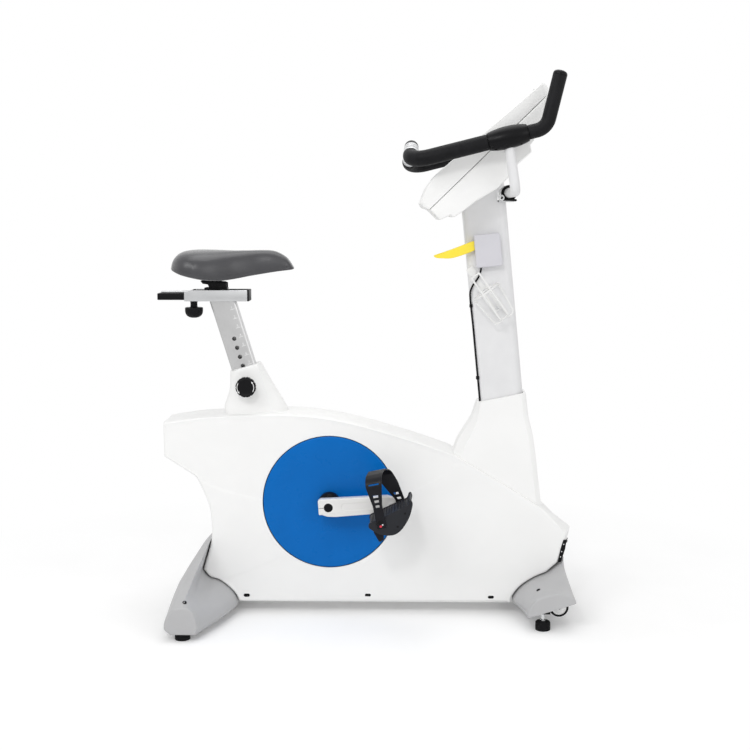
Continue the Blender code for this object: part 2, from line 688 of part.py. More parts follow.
def axle_bearing(name, side, steel):
    out = side * (SHELL_HALF - 0.0005)
    start = side * (SHELL_HALF - 0.0005 - BEARING_WIDTH)
    profile = [(AXLE_R + GAP, min(start, out)), (BEARING_R, min(start, out)),
               (BEARING_R, max(start, out)), (AXLE_R + GAP, max(start, out))]
    return solid(name, turned(profile, across(AXLE, 0), (0, 1, 0), 20), steel)


def drive_pulley(plastic):
    bore = AXLE_R + GAP
    inner, outer = PULLEY_IN, PULLEY_IN + BELT_WIDTH + 0.001
    middle = (inner + outer) / 2
    profile = [(bore, inner - 0.003), (0.024, inner - 0.003), (0.024, middle - 0.0025),
               (PULLEY_R - 0.012, middle - 0.0025), (PULLEY_R - 0.010, inner), (PULLEY_R, inner),
               (PULLEY_R, outer), (PULLEY_R - 0.010, outer), (PULLEY_R - 0.012, middle + 0.0025),
               (0.024, middle + 0.0025), (0.024, outer + 0.004), (bore, outer + 0.004)]
    return solid("drive_pulley", turned(profile, across(AXLE, 0), (0, 1, 0), 36), plastic, across(AXLE, 0))


def flywheel(iron):
    half = FLYWHEEL_HALF
    hub_in = FORK_IN + FORK_THICK + 0.0065
    hub_out = PULLEY_IN + BELT_WIDTH + 0.002
    web = 0.008
    profile = [(0, -FORK_IN - FORK_THICK - 0.004), (SHAFT_R, -FORK_IN - FORK_THICK - 0.004),
               (SHAFT_R, -FORK_IN + 0.0065), (0.028, -FORK_IN + 0.0065), (0.028, -web),
               (FLYWHEEL_R - 0.032, -web), (FLYWHEEL_R - 0.030, -half), (FLYWHEEL_R, -half),
               (FLYWHEEL_R, half), (FLYWHEEL_R - 0.030, half), (FLYWHEEL_R - 0.032, web), (0.028, web),
               (0.028, FORK_IN - 0.0065), (SHAFT_R, FORK_IN - 0.0065), (SHAFT_R, hub_in), (HUB_R, hub_in),
               (HUB_R, hub_out), (0, hub_out)]
    return solid("flywheel", turned(profile, across(FLYWHEEL, 0), (0, 1, 0), 32), iron, across(FLYWHEEL, 0))


def belt_loop(radius_a, radius_b, steps):
    """Outline of a taut belt round the drive pulley and the flywheel's hub."""
    dx, dz = FLYWHEEL[0] - AXLE[0], FLYWHEEL[1] - AXLE[1]
    heading = atan2(dz, dx)
    # Each tangent point lies this far round from the line of centres
    open_angle = pi / 2 - atan2(radius_a - radius_b, (dx * dx + dz * dz - (radius_a - radius_b) ** 2) ** 0.5)
    loop = []
    for k in range(steps + 1):
        t = heading + open_angle + (2 * pi - 2 * open_angle) * k / steps
        loop.append((AXLE[0] + radius_a * cos(t), AXLE[1] + radius_a * sin(t)))
    for k in range(steps // 3 + 1):
        t = heading - open_angle + 2 * open_angle * k / (steps // 3)
        loop.append((FLYWHEEL[0] + radius_b * cos(t), FLYWHEEL[1] + radius_b * sin(t)))
    return loop


def drive_belt(rubber):
    y_low = PULLEY_IN + 0.0005
    y_high = y_low + BELT_WIDTH
    clear = GAP + 0.0006
    inner = belt_loop(PULLEY_R + clear, HUB_R + clear, 36)
    outer = belt_loop(PULLEY_R + clear + BELT_THICK, HUB_R + clear + BELT_THICK, 36)
    maker = bmesh.new()
    rings = []
    for line, y in ((outer, y_low), (outer, y_high), (inner, y_high), (inner, y_low)):
        rings.append([maker.verts.new((x, y, z)) for x, z in line])
    ring_faces(maker, rings, closed=True)
    return solid("drive_belt", maker, rubber)


def brake_coil(dark):
    """Yoke of the eddy-current brake, open round the flywheel's rim."""
    x = FLYWHEEL[0]
    low = FLYWHEEL[1] + FLYWHEEL_R - 0.018
    yoke = solid("brake_coil", box((x - 0.035, -0.034, low), (x + 0.035, 0.034, COIL_TOP)), dark)
    slot = cylinder(FLYWHEEL_R + 0.003, across(FLYWHEEL, -FLYWHEEL_HALF - 0.003),
                    across(FLYWHEEL, FLYWHEEL_HALF + 0.003), 48)
    cut(yoke, solid("coil_slot", slot, None))
    return yoke


def wheel_disc(name, side, blue):
    face, back = side * DISC_FACE, side * (DISC_FACE - DISC_THICK)
    lip = side * (DISC_FACE - DISC_RIM)
    profile = [(DISC_BORE, back), (DISC_BORE, face), (DISC_R - 0.001, face), (DISC_R, face - side * 0.001),
               (DISC_R, lip), (DISC_R - 0.003, lip), (DISC_R - 0.003, back)]
    return solid(name, turned(profile, across(AXLE, 0), (0, 1, 0), 56), blue, across(AXLE, 0))


def crank_point(side, along, up):
    """World X and Z of a point on a crank, from the axle along the crank."""
    turn = CRANK_ANGLE + (pi if side > 0 else 0.0)
    flip = 1 if side < 0 else -1
    return (AXLE[0] + along * cos(turn) - up * flip * sin(turn),
            AXLE[1] + along * sin(turn) + up * flip * cos(turn))


CRANK_SHAPE = [(-0.027, -0.019), (-0.027, 0.0195), (-0.021, 0.0235), (0.160, 0.0225), (0.186, 0.013),
               (0.191, 0.0), (0.186, -0.013), (0.165, -0.0225), (0.018, -0.0262), (-0.004, -0.0245),
               (-0.018, -0.019)]


def crank(name, side, alloy):
    """Crank arm with its pedal spindle."""
    inner, outer = CRANK_IN, CRANK_IN + CRANK_THICK
    rims = [(inner, 0.003), (inner + 0.003, 0.0), (outer - 0.003, 0.0), (outer, 0.003)]
    sections = []
    for y, depth in rims:
        line = inset_outline(CRANK_SHAPE, depth) if depth else CRANK_SHAPE
        sections.append([across(crank_point(side, u, v), side * y) for u, v in line])
    arm = solid(name, loft(sections), alloy, across(AXLE, 0))
    spindle_at = pedal_centre(side)
    profile = [(0, outer - 0.006), (0.011, outer - 0.006), (0.011, PEDAL_IN - 0.001),
               (SPINDLE_R, PEDAL_IN - 0.001), (SPINDLE_R, PEDAL_IN + PEDAL_WIDTH - 0.010),
               (0, PEDAL_IN + PEDAL_WIDTH - 0.010)]
    spindle = turned([(r, side * y) for r, y in profile], across(spindle_at, 0), (0, 1, 0), 20)
    join(arm, solid(name + "_spindle", spindle, alloy))
    bore = cylinder(AXLE_R + GAP, across(AXLE, side * (inner - 0.01)), across(AXLE, side * (outer + 0.01)),
                    24)
    corners = ((-0.035, -0.0008), (-0.006, -0.0008), (-0.006, 0.0008), (-0.035, 0.0008))
    slit = profile_block([crank_point(side, u, v) for u, v in corners],
                         side * (inner - 0.01), side * (outer + 0.01))
    cut(arm, solid(name + "_bore", bore, None), solid(name + "_slit", slit, None))
    return arm


# Pedals, in a local frame: toe along the platform, up square to it

def pedal_centre(side):
    return crank_point(side, CRANK_LENGTH, -SPINDLE_DROP)


def pedal_point(side, toe, up):
    centre = pedal_centre(side)
    return (centre[0] + toe * cos(PEDAL_TILT) - up * sin(PEDAL_TILT),
            centre[1] + toe * sin(PEDAL_TILT) + up * cos(PEDAL_TILT))


def pedal(name, side, plastic):
    belly = spline([(PEDAL_TOE - 0.005, 0, 0.004), (0.045, 0, -0.015), (0.0265, 0, -PEDAL_DEEP + 0.013),
                    (0.004, 0, -PEDAL_DEEP + 0.001), (-0.019, 0, -PEDAL_DEEP), (-0.046, 0, -0.028),
                    (-PEDAL_HEEL + 0.001, 0, -0.004)], 2)
    outline = [(-PEDAL_HEEL, 0.004), (-PEDAL_HEEL + 0.004, PEDAL_TOP - 0.001),
               (-PEDAL_HEEL + 0.010, PEDAL_TOP),
               (PEDAL_TOE - 0.017, PEDAL_TOP), (PEDAL_TOE - 0.008, PEDAL_TOP + 0.009),
               (PEDAL_TOE - 0.003, PEDAL_TOP + 0.0105), (PEDAL_TOE, PEDAL_TOP + 0.006),
               (PEDAL_TOE - 0.001, PEDAL_TOP)]
    outline += [(p.x, p.z) for p in belly]
    outer = PEDAL_IN + PEDAL_WIDTH
    rims = [(PEDAL_IN, 0.002), (PEDAL_IN + 0.002, 0), (outer - 0.002, 0), (outer, 0.002)]
    sections = []
    for y, depth in rims:
        line = inset_outline(outline, depth) if depth else outline
        sections.append([across(pedal_point(side, t, n), side * y) for t, n in line])
    centre = across(pedal_centre(side), side * (PEDAL_IN + PEDAL_WIDTH / 2))
    body = solid(name, loft(sections), plastic, centre)
    bore = cylinder(SPINDLE_R + RUN, (centre[0], side * (PEDAL_IN - 0.01), centre[2]),
                    (centre[0], side * (outer - 0.008), centre[2]), 20)
    cut(body, solid(name + "_bore", bore, None))
    return body


def pedal_strap(name, side, rubber):
    """Strap that loops over the foot, from one side plate of the pedal to the other."""
    low, toe_0, half = STRAP_LOW, -0.0345, STRAP_THICK / 2
    inner = PEDAL_IN - GAP - half
    outer = PEDAL_IN + PEDAL_WIDTH + GAP + half
    path = rounded([(0, outer, low), (0, outer, STRAP_HIGH - 0.004), (0, (inner + outer) / 2, STRAP_HIGH),
                    (0, inner, STRAP_HIGH - 0.018), (0, inner, low)], (0.030, 0.030, 0.022), 4)
    near_leg = [Vector((0, outer, 0.045))]
    far_leg = [Vector((0, inner, height)) for height in (0.045, 0.014)]
    path = path[:1] + near_leg + path[1:-1] + far_leg + path[-1:]
    sections = []
    for i, point in enumerate(path):
        along = (path[min(i + 1, len(path) - 1)] - path[max(i - 1, 0)]).normalized()
        normal = Vector((0, along.z, -along.y))
        ring = []
        for across_share, depth in ((-1, -half), (1, -half), (1, half), (-1, half)):
            spot = point + normal * depth
            height = spot.z
            inward = (outer - spot.y) / (outer - inner)
            flare = max(0.0, min(1.0, (height - 0.045 + 0.030 * inward) / 0.050))
            wide = STRAP_WIDTH / 2 * (0.58 + 0.42 * flare)
            skew = STRAP_SKEW * inward * (1.0 - 0.55 * max(0.0, min(1.0, (height - 0.014) / 0.090)))
            toe = toe_0 + (height - low) * tan(STRAP_LEAN) + skew + across_share * wide
            up = height - across_share * wide * tan(STRAP_LEAN)
            ring.append(across(pedal_point(side, toe, up), side * spot.y))
        sections.append(ring)
    centre = across(pedal_centre(side), side * (PEDAL_IN + PEDAL_WIDTH / 2))
    return solid(name, loft(sections), rubber, centre)


# Seat

def seat_post(steel):
    outer = oblong(POST_DEEP, POST_WIDE, 0.007, 3)
    inner = oblong(POST_DEEP - 2 * POST_WALL, POST_WIDE - 2 * POST_WALL, 0.004, 3)
    post = solid("seat_post", leaning_tube(outer, inner, POST_POINT, POST_TILT, POST_LOW, RAIL_LOW - GAP),
                 steel)
    for k in range(-PIN_HOLES_DOWN, PIN_HOLES_UP + 1):
        height = PIN_HEIGHT + k * PIN_PITCH * cos(POST_TILT)
        x = leaning(POST_POINT, POST_TILT, height)
        hole = cylinder(PIN_R + RUN, (x, -0.030, height), (x, -POST_WIDE / 2 + 0.006, height), 8)
        cut(post, solid(f"post_hole_{k + PIN_HOLES_DOWN}", hole, None))
    return post


POST_COVER_LEVELS = [((-0.371, 0.669), (-0.296, 0.689), (-0.289, 0.6909), 0.042),
                     ((-0.373, 0.618), (-0.2758, 0.629), (-0.256, 0.633), 0.046),
                     ((-0.387, 0.572), (-0.2578, 0.576), (-0.2196, 0.571), 0.051),
                     ((-0.382, 0.545), (-0.250, 0.548), (-0.212, 0.548), 0.054)]


def post_cover_ring(level, depth):
    """Ring of the seat post cover: rear, side, front crease and centre front, inset by a depth."""
    rear, crease, centre, wide = level
    wide -= depth
    xr, xc, xm = rear[0] + depth, crease[0] - depth, centre[0] - depth
    half = [(xr, 0.6, rear[1]), (xr + 0.010, 0.93, rear[1] + 0.001),
            (xr + (xc - xr) * 0.45, 1.0, rear[1] + (crease[1] - rear[1]) * 0.45), (xc, 0.84, crease[1]),
            (xc + (xm - xc) * 0.72, 0.42, crease[1] + (centre[1] - crease[1]) * 0.72)]
    ring = [(x, -wide * share, z) for x, share, z in half]
    ring += [(x, wide * share, z) for x, share, z in half[::-1]]
    return ring


def seat_post_cover(white):
    cover = solid("seat_post_cover",
                  faceted(loft([post_cover_ring(level, 0) for level in POST_COVER_LEVELS])), white)
    inner = [post_cover_ring(level, COVER_WALL) for level in POST_COVER_LEVELS]
    inner[0] = [(x, y, z - COVER_WALL) for x, y, z in inner[0]]
    inner[-1] = [(x, y, z - 0.02) for x, y, z in inner[-1]]
    column = oblong(POST_DEEP + 0.0024, POST_WIDE + 0.0024, 0.008, 3)
    rings = [leaning_section(column, POST_POINT, POST_TILT, height) for height in (0.62, 0.75)]
    hole = cylinder(PIN_BOSS_R + RUN, (PIN_X, -0.030, PIN_HEIGHT), (PIN_X, -0.070, PIN_HEIGHT), 24)
    cut(cover, solid("post_cover_hollow", faceted(loft(inner)), None),
        solid("post_cover_column", loft(rings), None),
        solid("post_cover_pin_hole", hole, None), casing_room("post_cover_base", 0.1))
    return cover


def height_knob(black):
    out = KNOB_FACE
    back = KNOB_FACE - KNOB_THICK
    neck = PIN_BOSS_END + GAP
    profile = [(0, PIN_TIP), (PIN_R, PIN_TIP), (PIN_R, neck), (0.012, neck),
               (0.012, back), (KNOB_R - 0.003, back), (KNOB_R, back + 0.003), (KNOB_R, out - 0.003),
               (KNOB_R - 0.003, out), (0, out)]
    centre = (PIN_X, 0, PIN_HEIGHT)
    return solid("height_knob", turned([(r, -y) for r, y in profile], centre, (0, 1, 0), 24), black,
                 (PIN_X, -neck, PIN_HEIGHT))


def seat_rail(steel):
    top = RAIL_LOW + RAIL_TALL
    rail = solid("seat_rail", box((RAIL_REAR, -RAIL_HALF, RAIL_LOW), (RAIL_FRONT, RAIL_HALF, top)), steel)
    cavity = box((RAIL_REAR - 0.01, -RAIL_HALF + RAIL_WALL, RAIL_LOW + RAIL_WALL),
                 (RAIL_FRONT + 0.01, RAIL_HALF - RAIL_WALL, top - RAIL_WALL))
    slot = box((-0.462, -0.0125, top - 0.010), (-0.323, 0.0125, top + 0.010))
    hole = cylinder(CLAMP_STEM_R + RUN, (CLAMP_KNOB_X, 0, RAIL_LOW - 0.01),
                    (CLAMP_KNOB_X, 0, RAIL_LOW + 0.01), 16)
    cut(rail, solid("rail_cavity", cavity, None), solid("rail_slot", slot, None),
        solid("rail_stem_hole", hole, None))
    return rail


def seat_slider(dark):
    half = RAIL_HALF - RAIL_WALL - SLIDE
    low = RAIL_LOW + RAIL_WALL + SLIDE
    top = RAIL_LOW + RAIL_TALL - RAIL_WALL - SLIDE
    step = top - SLIDER_STEP
    section = [(-half, low), (half, low), (half, step), (0.012, step), (0.012, top), (-0.012, top),
               (-0.012, step), (-half, step)]
    middle = (low + step) / 2
    sections = []
    for x, scale in ((SLIDER_REAR, 0.90), (SLIDER_REAR + 0.004, 1.0), (SLIDER_FRONT, 1.0)):
        sections.append([(x, y * scale, middle + (z - middle) * scale) for y, z in section])
    return solid("seat_slider", loft(sections), dark)


def fore_aft_knob(black):
    low, head = CLAMP_KNOB_LOW, CLAMP_KNOB_LOW + CLAMP_KNOB_TALL
    top = RAIL_LOW + RAIL_WALL
    profile = [(0, low), (CLAMP_KNOB_R - 0.006, low), (CLAMP_KNOB_R - 0.001, low + 0.005),
               (CLAMP_KNOB_R, head - 0.004), (CLAMP_KNOB_R - 0.003, head), (0.012, head),
               (0.010, RAIL_LOW - GAP),
               (CLAMP_STEM_R, RAIL_LOW - GAP), (CLAMP_STEM_R, top), (0, top)]
    centre = (CLAMP_KNOB_X, 0, low)
    return solid("fore_aft_knob", turned([(r, z - low) for r, z in profile], centre, (0, 0, 1), 24), black,
                 centre)


def saddle_clamp(dark):
    """Yoke on the slider, whose two ears carry the tilt bolt."""
    base_low = RAIL_LOW + RAIL_TALL + RUN
    base_high = base_low + 0.005
    out = EAR_IN + EAR_THICK
    yoke = solid("saddle_clamp", box((-0.440, -out, base_low), (-0.378, out, base_high)), dark)
    stem = box((-0.430, -0.0118, RAIL_LOW + RAIL_TALL - RAIL_WALL - SLIDE + GAP),
               (-0.385, 0.0118, base_high - 0.001))
    join(yoke, solid("clamp_stem", stem, dark))
    for label, side in SIDES:
        inner = side * EAR_IN
        outer = side * out
        shape = [(TILT[0] + 0.034, base_high - 0.001), (TILT[0] + 0.034, TILT[1] + 0.005),
                 (TILT[0] + 0.030, TILT[1] + EAR_R), (TILT[0] - 0.038, TILT[1] + EAR_R),
                 (TILT[0] - 0.031, TILT[1]), (TILT[0] - 0.0165, TILT[1] - 0.002),
                 (TILT[0] - 0.0125, base_high - 0.001)]
        head = cylinder(0.0125, across(TILT, outer - side * 0.001), across(TILT, outer + side * 0.005), 24)
        join(yoke, solid("clamp_ear_" + label, profile_block(shape, inner, outer), dark),
             solid("bolt_head_" + label, head, dark))
    join(yoke, solid("tilt_bolt", cylinder(TILT_R, across(TILT, -out + 0.001), across(TILT, out - 0.001), 12),
                     dark))
    return yoke


SADDLE_TOP = [(-0.523, 0.950), (-0.518, 0.970), (-0.508, 0.985), (-0.492, 0.9945), (-0.470, 0.998),
              (-0.430, 0.9985), (-0.368, 0.9975), (-0.330, 0.9985), (-0.272, 0.999), (-0.245, 0.995),
              (-0.218, 0.980), (-0.206, 0.966), (-0.197, 0.951)]
SADDLE_SKIRT = [(-0.523, 0.947), (-0.514, 0.942), (-0.486, 0.932), (-0.431, 0.920), (-0.400, 0.9175),
                (-0.381, 0.9175), (-0.350, 0.9215), (-0.312, 0.9285), (-0.240, 0.940), (-0.202, 0.9445),
                (-0.197, 0.946)]
SADDLE_WIDTH = [(-0.523, 0.056), (-0.515, 0.082), (-0.498, 0.108), (-0.480, 0.121), (-0.457, 0.126),
                (-0.430, 0.121), (-0.400, 0.105), (-0.350, 0.065), (-0.300, 0.044), (-0.250, 0.036),
                (-0.215, 0.029), (-0.203, 0.021), (-0.197, 0.012)]
SADDLE_STATIONS = (-0.523, -0.519, -0.510, -0.498, -0.480, -0.457, -0.430, -0.400, -0.370, -0.340, -0.310,
                   -0.280, -0.255, -0.232, -0.215, -0.204, -0.197)
SADDLE_RIB = ((0.0, 0.0), (0.45, 0.0), (0.86, 0.0), (0.975, 0.05), (1.0, 0.22), (0.985, 0.45), (0.91, 0.68),
              (0.76, 0.85), (0.52, 0.95), (0.25, 0.99), (0.0, 1.0))


def between(x, table):
    """Value of a table of (x, value) pairs at an x."""
    for (x0, v0), (x1, v1) in zip(table, table[1:]):
        if x <= x1:
            return v0 + (v1 - v0) * (x - x0) / (x1 - x0)
    return table[-1][1]


def pan_height(x):
    return PAN_REAR[1] + (PAN_NOSE[1] - PAN_REAR[1]) * (x - PAN_REAR[0]) / (PAN_NOSE[0] - PAN_REAR[0])


def saddle_pan_outline(scale, spare):
    """Plan outline of the plate under the saddle, as (x, y) round the plate."""
    stations = (PAN_REAR[0] - spare, -0.485, -0.460, -0.430, -0.400, -0.350, -0.300, PAN_NOSE[0] + spare)
    half = [(x, between(x, SADDLE_WIDTH) * scale + spare) for x in stations]
    return half + [(x, -y) for x, y in half[::-1]]


def saddle(skin):
    sections = []
    for x in SADDLE_STATIONS:
        wide, top, skirt = (between(x, table) for table in (SADDLE_WIDTH, SADDLE_TOP, SADDLE_SKIRT))
        ring = [(x, wide * y, skirt + (top - skirt) * z) for y, z in SADDLE_RIB]
        ring += [(x, -wide * y, skirt + (top - skirt) * z) for y, z in SADDLE_RIB[-2:0:-1]]
        sections.append(ring)
    seat = solid("saddle", loft(sections), skin)
    plan = saddle_pan_outline(0.80, 0.001)
    recess = loft([[(x, y, 0.88) for x, y in plan], [(x, y, pan_height(x) + GAP) for x, y in plan]])
    cut(seat, solid("saddle_recess", recess, None))
    return seat


def saddle_base(plastic):
    """Plate under the saddle with the lug that tilts on the clamp's bolt."""
    plan = saddle_pan_outline(0.80, 0.0)
    plate = loft([[(x, y, pan_height(x) - PAN_THICK) for x, y in plan],
                  [(x, y, pan_height(x)) for x, y in plan]])
    base = solid("saddle_base", plate, plastic, across(TILT, 0))
    arc = [(TILT[0] + EAR_R * cos(pi + pi * k / 8), TILT[1] + EAR_R * sin(pi + pi * k / 8)) for k in range(9)]
    top = pan_height(TILT[0]) - PAN_THICK + 0.002
    shape = arc + [(TILT[0] + 0.020, top), (TILT[0] - 0.020, top)]
    lug_half = EAR_IN - 0.0004
    join(base, solid("tilt_lug", profile_block(shape, -lug_half, lug_half), plastic))
    cut(base,
        solid("tilt_bore", cylinder(TILT_R + 0.0004, across(TILT, -0.03), across(TILT, 0.03), 16), None))
    return base


# Mast and console

MAST_TRIM = [(0.20, 1.066), (0.251, 1.0984), (0.285, 1.1254), (0.336, 1.155), (0.340, 1.1573),
             (0.352, 1.1693),
             (0.352, MAST_TOP), (0.46, MAST_TOP), (0.46, 1.30), (0.20, 1.30)]
MAST_COVER_ROWS = [((0.304, 0.587), (0.313, 0.5885), (0.436, 0.612), 0.044),
                   ((0.291, 0.545), (0.303, 0.536), (0.4444, 0.545), 0.047),
                   ((0.272, 0.512), (0.288, 0.500), (0.455, 0.500), 0.052),
                   ((0.252, 0.478), (0.268, 0.462), (0.464, 0.440), 0.057),
                   ((0.235, 0.430), (0.252, 0.400), (0.4835, 0.280), 0.064)]
CABLE_LOW = 0.575
CABLE_R = 0.0025


def mast_rear(height):
    return leaning(MAST_POINT, MAST_TILT, height) - MAST_DEEP / 2 / cos(MAST_TILT)


def mast(grey):
    outer = oblong(MAST_DEEP, MAST_WIDE, 0.015, 4)
    inner = oblong(MAST_DEEP - 2 * MAST_WALL, MAST_WIDE - 2 * MAST_WALL, 0.011, 4)
    column = solid("mast", leaning_tube(outer, inner, MAST_POINT, MAST_TILT, MAST_LOW, 1.19), grey)
    notch = box((0.300, -0.0206, MAST_LOW - 0.01), (0.345, 0.0206, COIL_TOP + 0.008))
    cut(column, solid("mast_trim", profile_block(MAST_TRIM, -0.06, 0.06), None),
        solid("mast_notch", notch, None))
    return column


def mast_cover_ring(row, depth):
    rear, corner, front, wide = row
    wide -= depth
    xr, xc, xf = rear[0] + depth, corner[0] + depth * 0.6, front[0] - depth
    half = [(xr, wide * 0.55, rear[1]), (xc, wide, corner[1]),
            ((xc + xf) / 2, wide, (corner[1] + front[1]) / 2),
            (xf - 0.014, wide, front[1] - 0.002), (xf - 0.003, wide - 0.008, front[1]),
            (xf, wide - 0.020, front[1])]
    return [(x, -y, z) for x, y, z in half] + [(x, y, z) for x, y, z in half[::-1]]


def mast_cover(white):
    cover = solid("mast_cover", faceted(loft([mast_cover_ring(row, 0) for row in MAST_COVER_ROWS])), white)
    inner = [mast_cover_ring(row, COVER_WALL) for row in MAST_COVER_ROWS]
    inner[0] = [(x, y, z - COVER_WALL) for x, y, z in inner[0]]
    inner[-1] = [(x, y, z - 0.02) for x, y, z in inner[-1]]
    column = oblong(MAST_DEEP + 0.002, MAST_WIDE + 0.002, 0.016, 4)
    rings = [leaning_section(column, MAST_POINT, MAST_TILT, height) for height in (0.55, 0.65)]
    hole = cylinder(CABLE_R + 0.001, (mast_rear(0.55) - GAP, -0.0291, 0.55),
                    (mast_rear(0.65) - GAP, -0.0291, 0.65), 16)
    cut(cover, solid("mast_cover_hollow", faceted(loft(inner)), None),
        solid("mast_cover_column", loft(rings), None),
        solid("mast_cover_cable_hole", hole, None), casing_room("mast_cover_base", 0.1))
    return cover


SCREEN_FOOT = (0.181, 1.193)
SCREEN_ALONG = (0.7601, 0.6499)
SCREEN_OUT = (-0.6499, 0.7601)
CONSOLE_FRONT_SHAPE = [(0.1445, 1.122), (0.159, 1.162), (0.181, 1.193), (0.450, 1.423), (0.460, 1.4205),
                       (0.467, 1.412), (0.4635, 1.393), (0.1676, 1.1058), (0.152, 1.111)]
CONSOLE_BACK_SHAPE = [(0.1682, 1.1053), (0.4639, 1.3922), (0.453, 1.338), (0.432, 1.280), (0.423, 1.268),
                      (0.427, 1.251), (0.393, 1.221), (0.368, 1.186), (0.340, 1.158), (0.285, 1.126),
                      (0.251, 1.099), (0.231, 1.086), (0.222, 1.091), (0.195, 1.079)]


def on_screen(along, out):
    """World X and Z from a distance up the screen and out of it."""
    return (SCREEN_FOOT[0] + SCREEN_ALONG[0] * along + SCREEN_OUT[0] * out,
            SCREEN_FOOT[1] + SCREEN_ALONG[1] * along + SCREEN_OUT[1] * out)


def screen_block(low, high, half):
    """Block square to the screen, from (along, out) to (along, out)."""
    corners = ((low[0], low[1]), (high[0], low[1]), (high[0], high[1]), (low[0], high[1]))
    return profile_block([on_screen(s, n) for s, n in corners], -half, half)


def rounded_across(shape, half, edge):
    """Loft of a side outline across Y with softened edges."""
    rims = [(-half, edge), (-half + edge * 0.3, edge * 0.3), (-half + edge, 0.0),
            (half - edge, 0.0), (half - edge * 0.3, edge * 0.3), (half, edge)]
    return loft([[(x, y, z) for x, z in (inset_outline(shape, depth) if depth else shape)]
                 for y, depth in rims])


def screen_corners(name):
    """Rounded rectangle square to the screen, just outside the console's faces: rounds its corners."""
    plan = oblong(0.437, 2 * CONSOLE_HALF + 0.002, CONSOLE_CORNER, 5)
    rings = []
    for out in (-0.20, 0.02):
        ends = [(on_screen(along + 0.1424, out), y) for along, y in plan]
        rings.append([(x, y, z) for (x, z), y in ends])
    return solid(name, loft(rings), None)


def console_front(white):
    front = solid("console_front", rounded_across(CONSOLE_FRONT_SHAPE, CONSOLE_HALF, 0.004), white)
    combine(front, screen_corners("front_corners"), "INTERSECT")
    pocket = screen_block((SCREEN_LOW - GAP, -0.0015 - SCREEN_THICK - GAP), (SCREEN_HIGH + GAP, 0.02),
                          0.150 + GAP)
    behind = ((-0.052, -0.080), (0.335, -0.080), (0.335, -0.0105), (0.004, -0.0105), (-0.036, -0.0165),
              (-0.052, -0.0265))
    half = CONSOLE_HALF - 0.006
    rear = profile_block([on_screen(along, out) for along, out in behind], -half, half)
    cut(front, solid("screen_pocket", pocket, None), solid("front_hollow", rear, None))
    return front


def display_panel(glass):
    plate = screen_block((SCREEN_LOW, -0.0015 - SCREEN_THICK), (SCREEN_HIGH, -0.0015), 0.150)
    return solid("display_panel", plate, glass)


def console_back(white):
    back = solid("console_back", rounded_across(CONSOLE_BACK_SHAPE, CONSOLE_HALF, 0.005), white)
    combine(back, screen_corners("back_corners"), "INTERSECT")
    inner = inset_outline(CONSOLE_BACK_SHAPE, CONSOLE_WALL)
    lift_x, lift_z = SCREEN_OUT[0] * 0.02, SCREEN_OUT[1] * 0.02
    lifted = [(x + lift_x, z + lift_z) for x, z in inner[:2]]
    side = CONSOLE_HALF - CONSOLE_CORNER * 0.5
    cut(back, solid("back_hollow", profile_block(lifted + inner[1:] + [inner[0]], -side, side), None))
    return back


# Handlebar

HORN_TOP = (0.4881, 1.4393)
HORN_CORNER = (0.4562, 1.3066)
BARREL = ((0.4105, 1.2955), (0.3605, 1.2835), (0.310, 1.2715))


def horn_path(y, shorter):
    """From the barrel's front up to the top of the horn."""
    ahead = (Vector(HORN_TOP) - Vector(HORN_CORNER)).normalized()
    top = Vector(HORN_TOP) - ahead * shorter
    return rounded([across(BARREL[0], y), across(HORN_CORNER, y), (top.x, y, top.y)], (0.040,), 4)


def bar_path(side):
    """From the barrel's rear back round the elbow to the sensor bar."""
    y = side * BAR_HALF
    return rounded([across(BARREL[2], y), (0.1165, y, 1.2235), (0.1186, side * SENSOR_HALF, 1.2429)],
                   (0.045,), 4)


def cross_path():
    """From the right riser over to the left one."""
    bend = BAR_HALF - 0.115
    return rounded([(0.1186, -SENSOR_HALF, 1.2429), (0.121, -bend, 1.2655), (0.121, bend, 1.2655),
                    (0.1186, SENSOR_HALF, 1.2429)], (0.040, 0.040), 4)


def handlebar(grey):
    runs = []
    for label, side in SIDES:
        horn = horn_path(side * BAR_HALF, 0.004)
        runs.append(horn[::-1] + [Vector(across(BARREL[1], side * BAR_HALF))] + bar_path(side))
    path = runs[0] + cross_path()[1:-1] + runs[1][::-1]
    bar = solid("handlebar", tube(path, TUBE_R, 12), grey, across(PIVOT, 0))
    join(bar, solid("handlebar_stem", tube(stem_path(), TUBE_R, 12), grey))
    return bar


def stem_path():
    """Bent tube from one side bar down to the pivot, across and up to the other."""
    top, low = BARREL_FOOT
    return rounded([(top[0], -top[1], top[2]), (low[0], -low[1], low[2]), low, top], (0.030, 0.030), 4)


BARREL_FOOT = ((0.3615, BAR_HALF - 0.003, 1.276), (PIVOT[0], STEM_HALF, PIVOT[1]))


def straight_step(path, distance):
    """Path whose first point is moved towards the second by a distance."""
    ahead = (path[1] - path[0]).normalized()
    return [path[0] + ahead * distance] + path[1:]


def horn_grip(name, side, foam):
    path = straight_step(horn_path(side * BAR_HALF, 0.002), GAP)
    return solid(name, tube(path, GRIP_R, 12, bore=0.0137, dome=True), foam)


def bar_grip(name, side, foam):
    path = straight_step(bar_path(side), GAP)
    return solid(name, tube(path, BAR_GRIP_R, 12, bore=0.0137), foam)


def pulse_sensor_bar(plastic):
    path = straight_step(straight_step(cross_path(), GAP)[::-1], GAP)
    return solid("pulse_sensor_bar", tube(path, 0.019, 12, bore=0.0137), plastic)


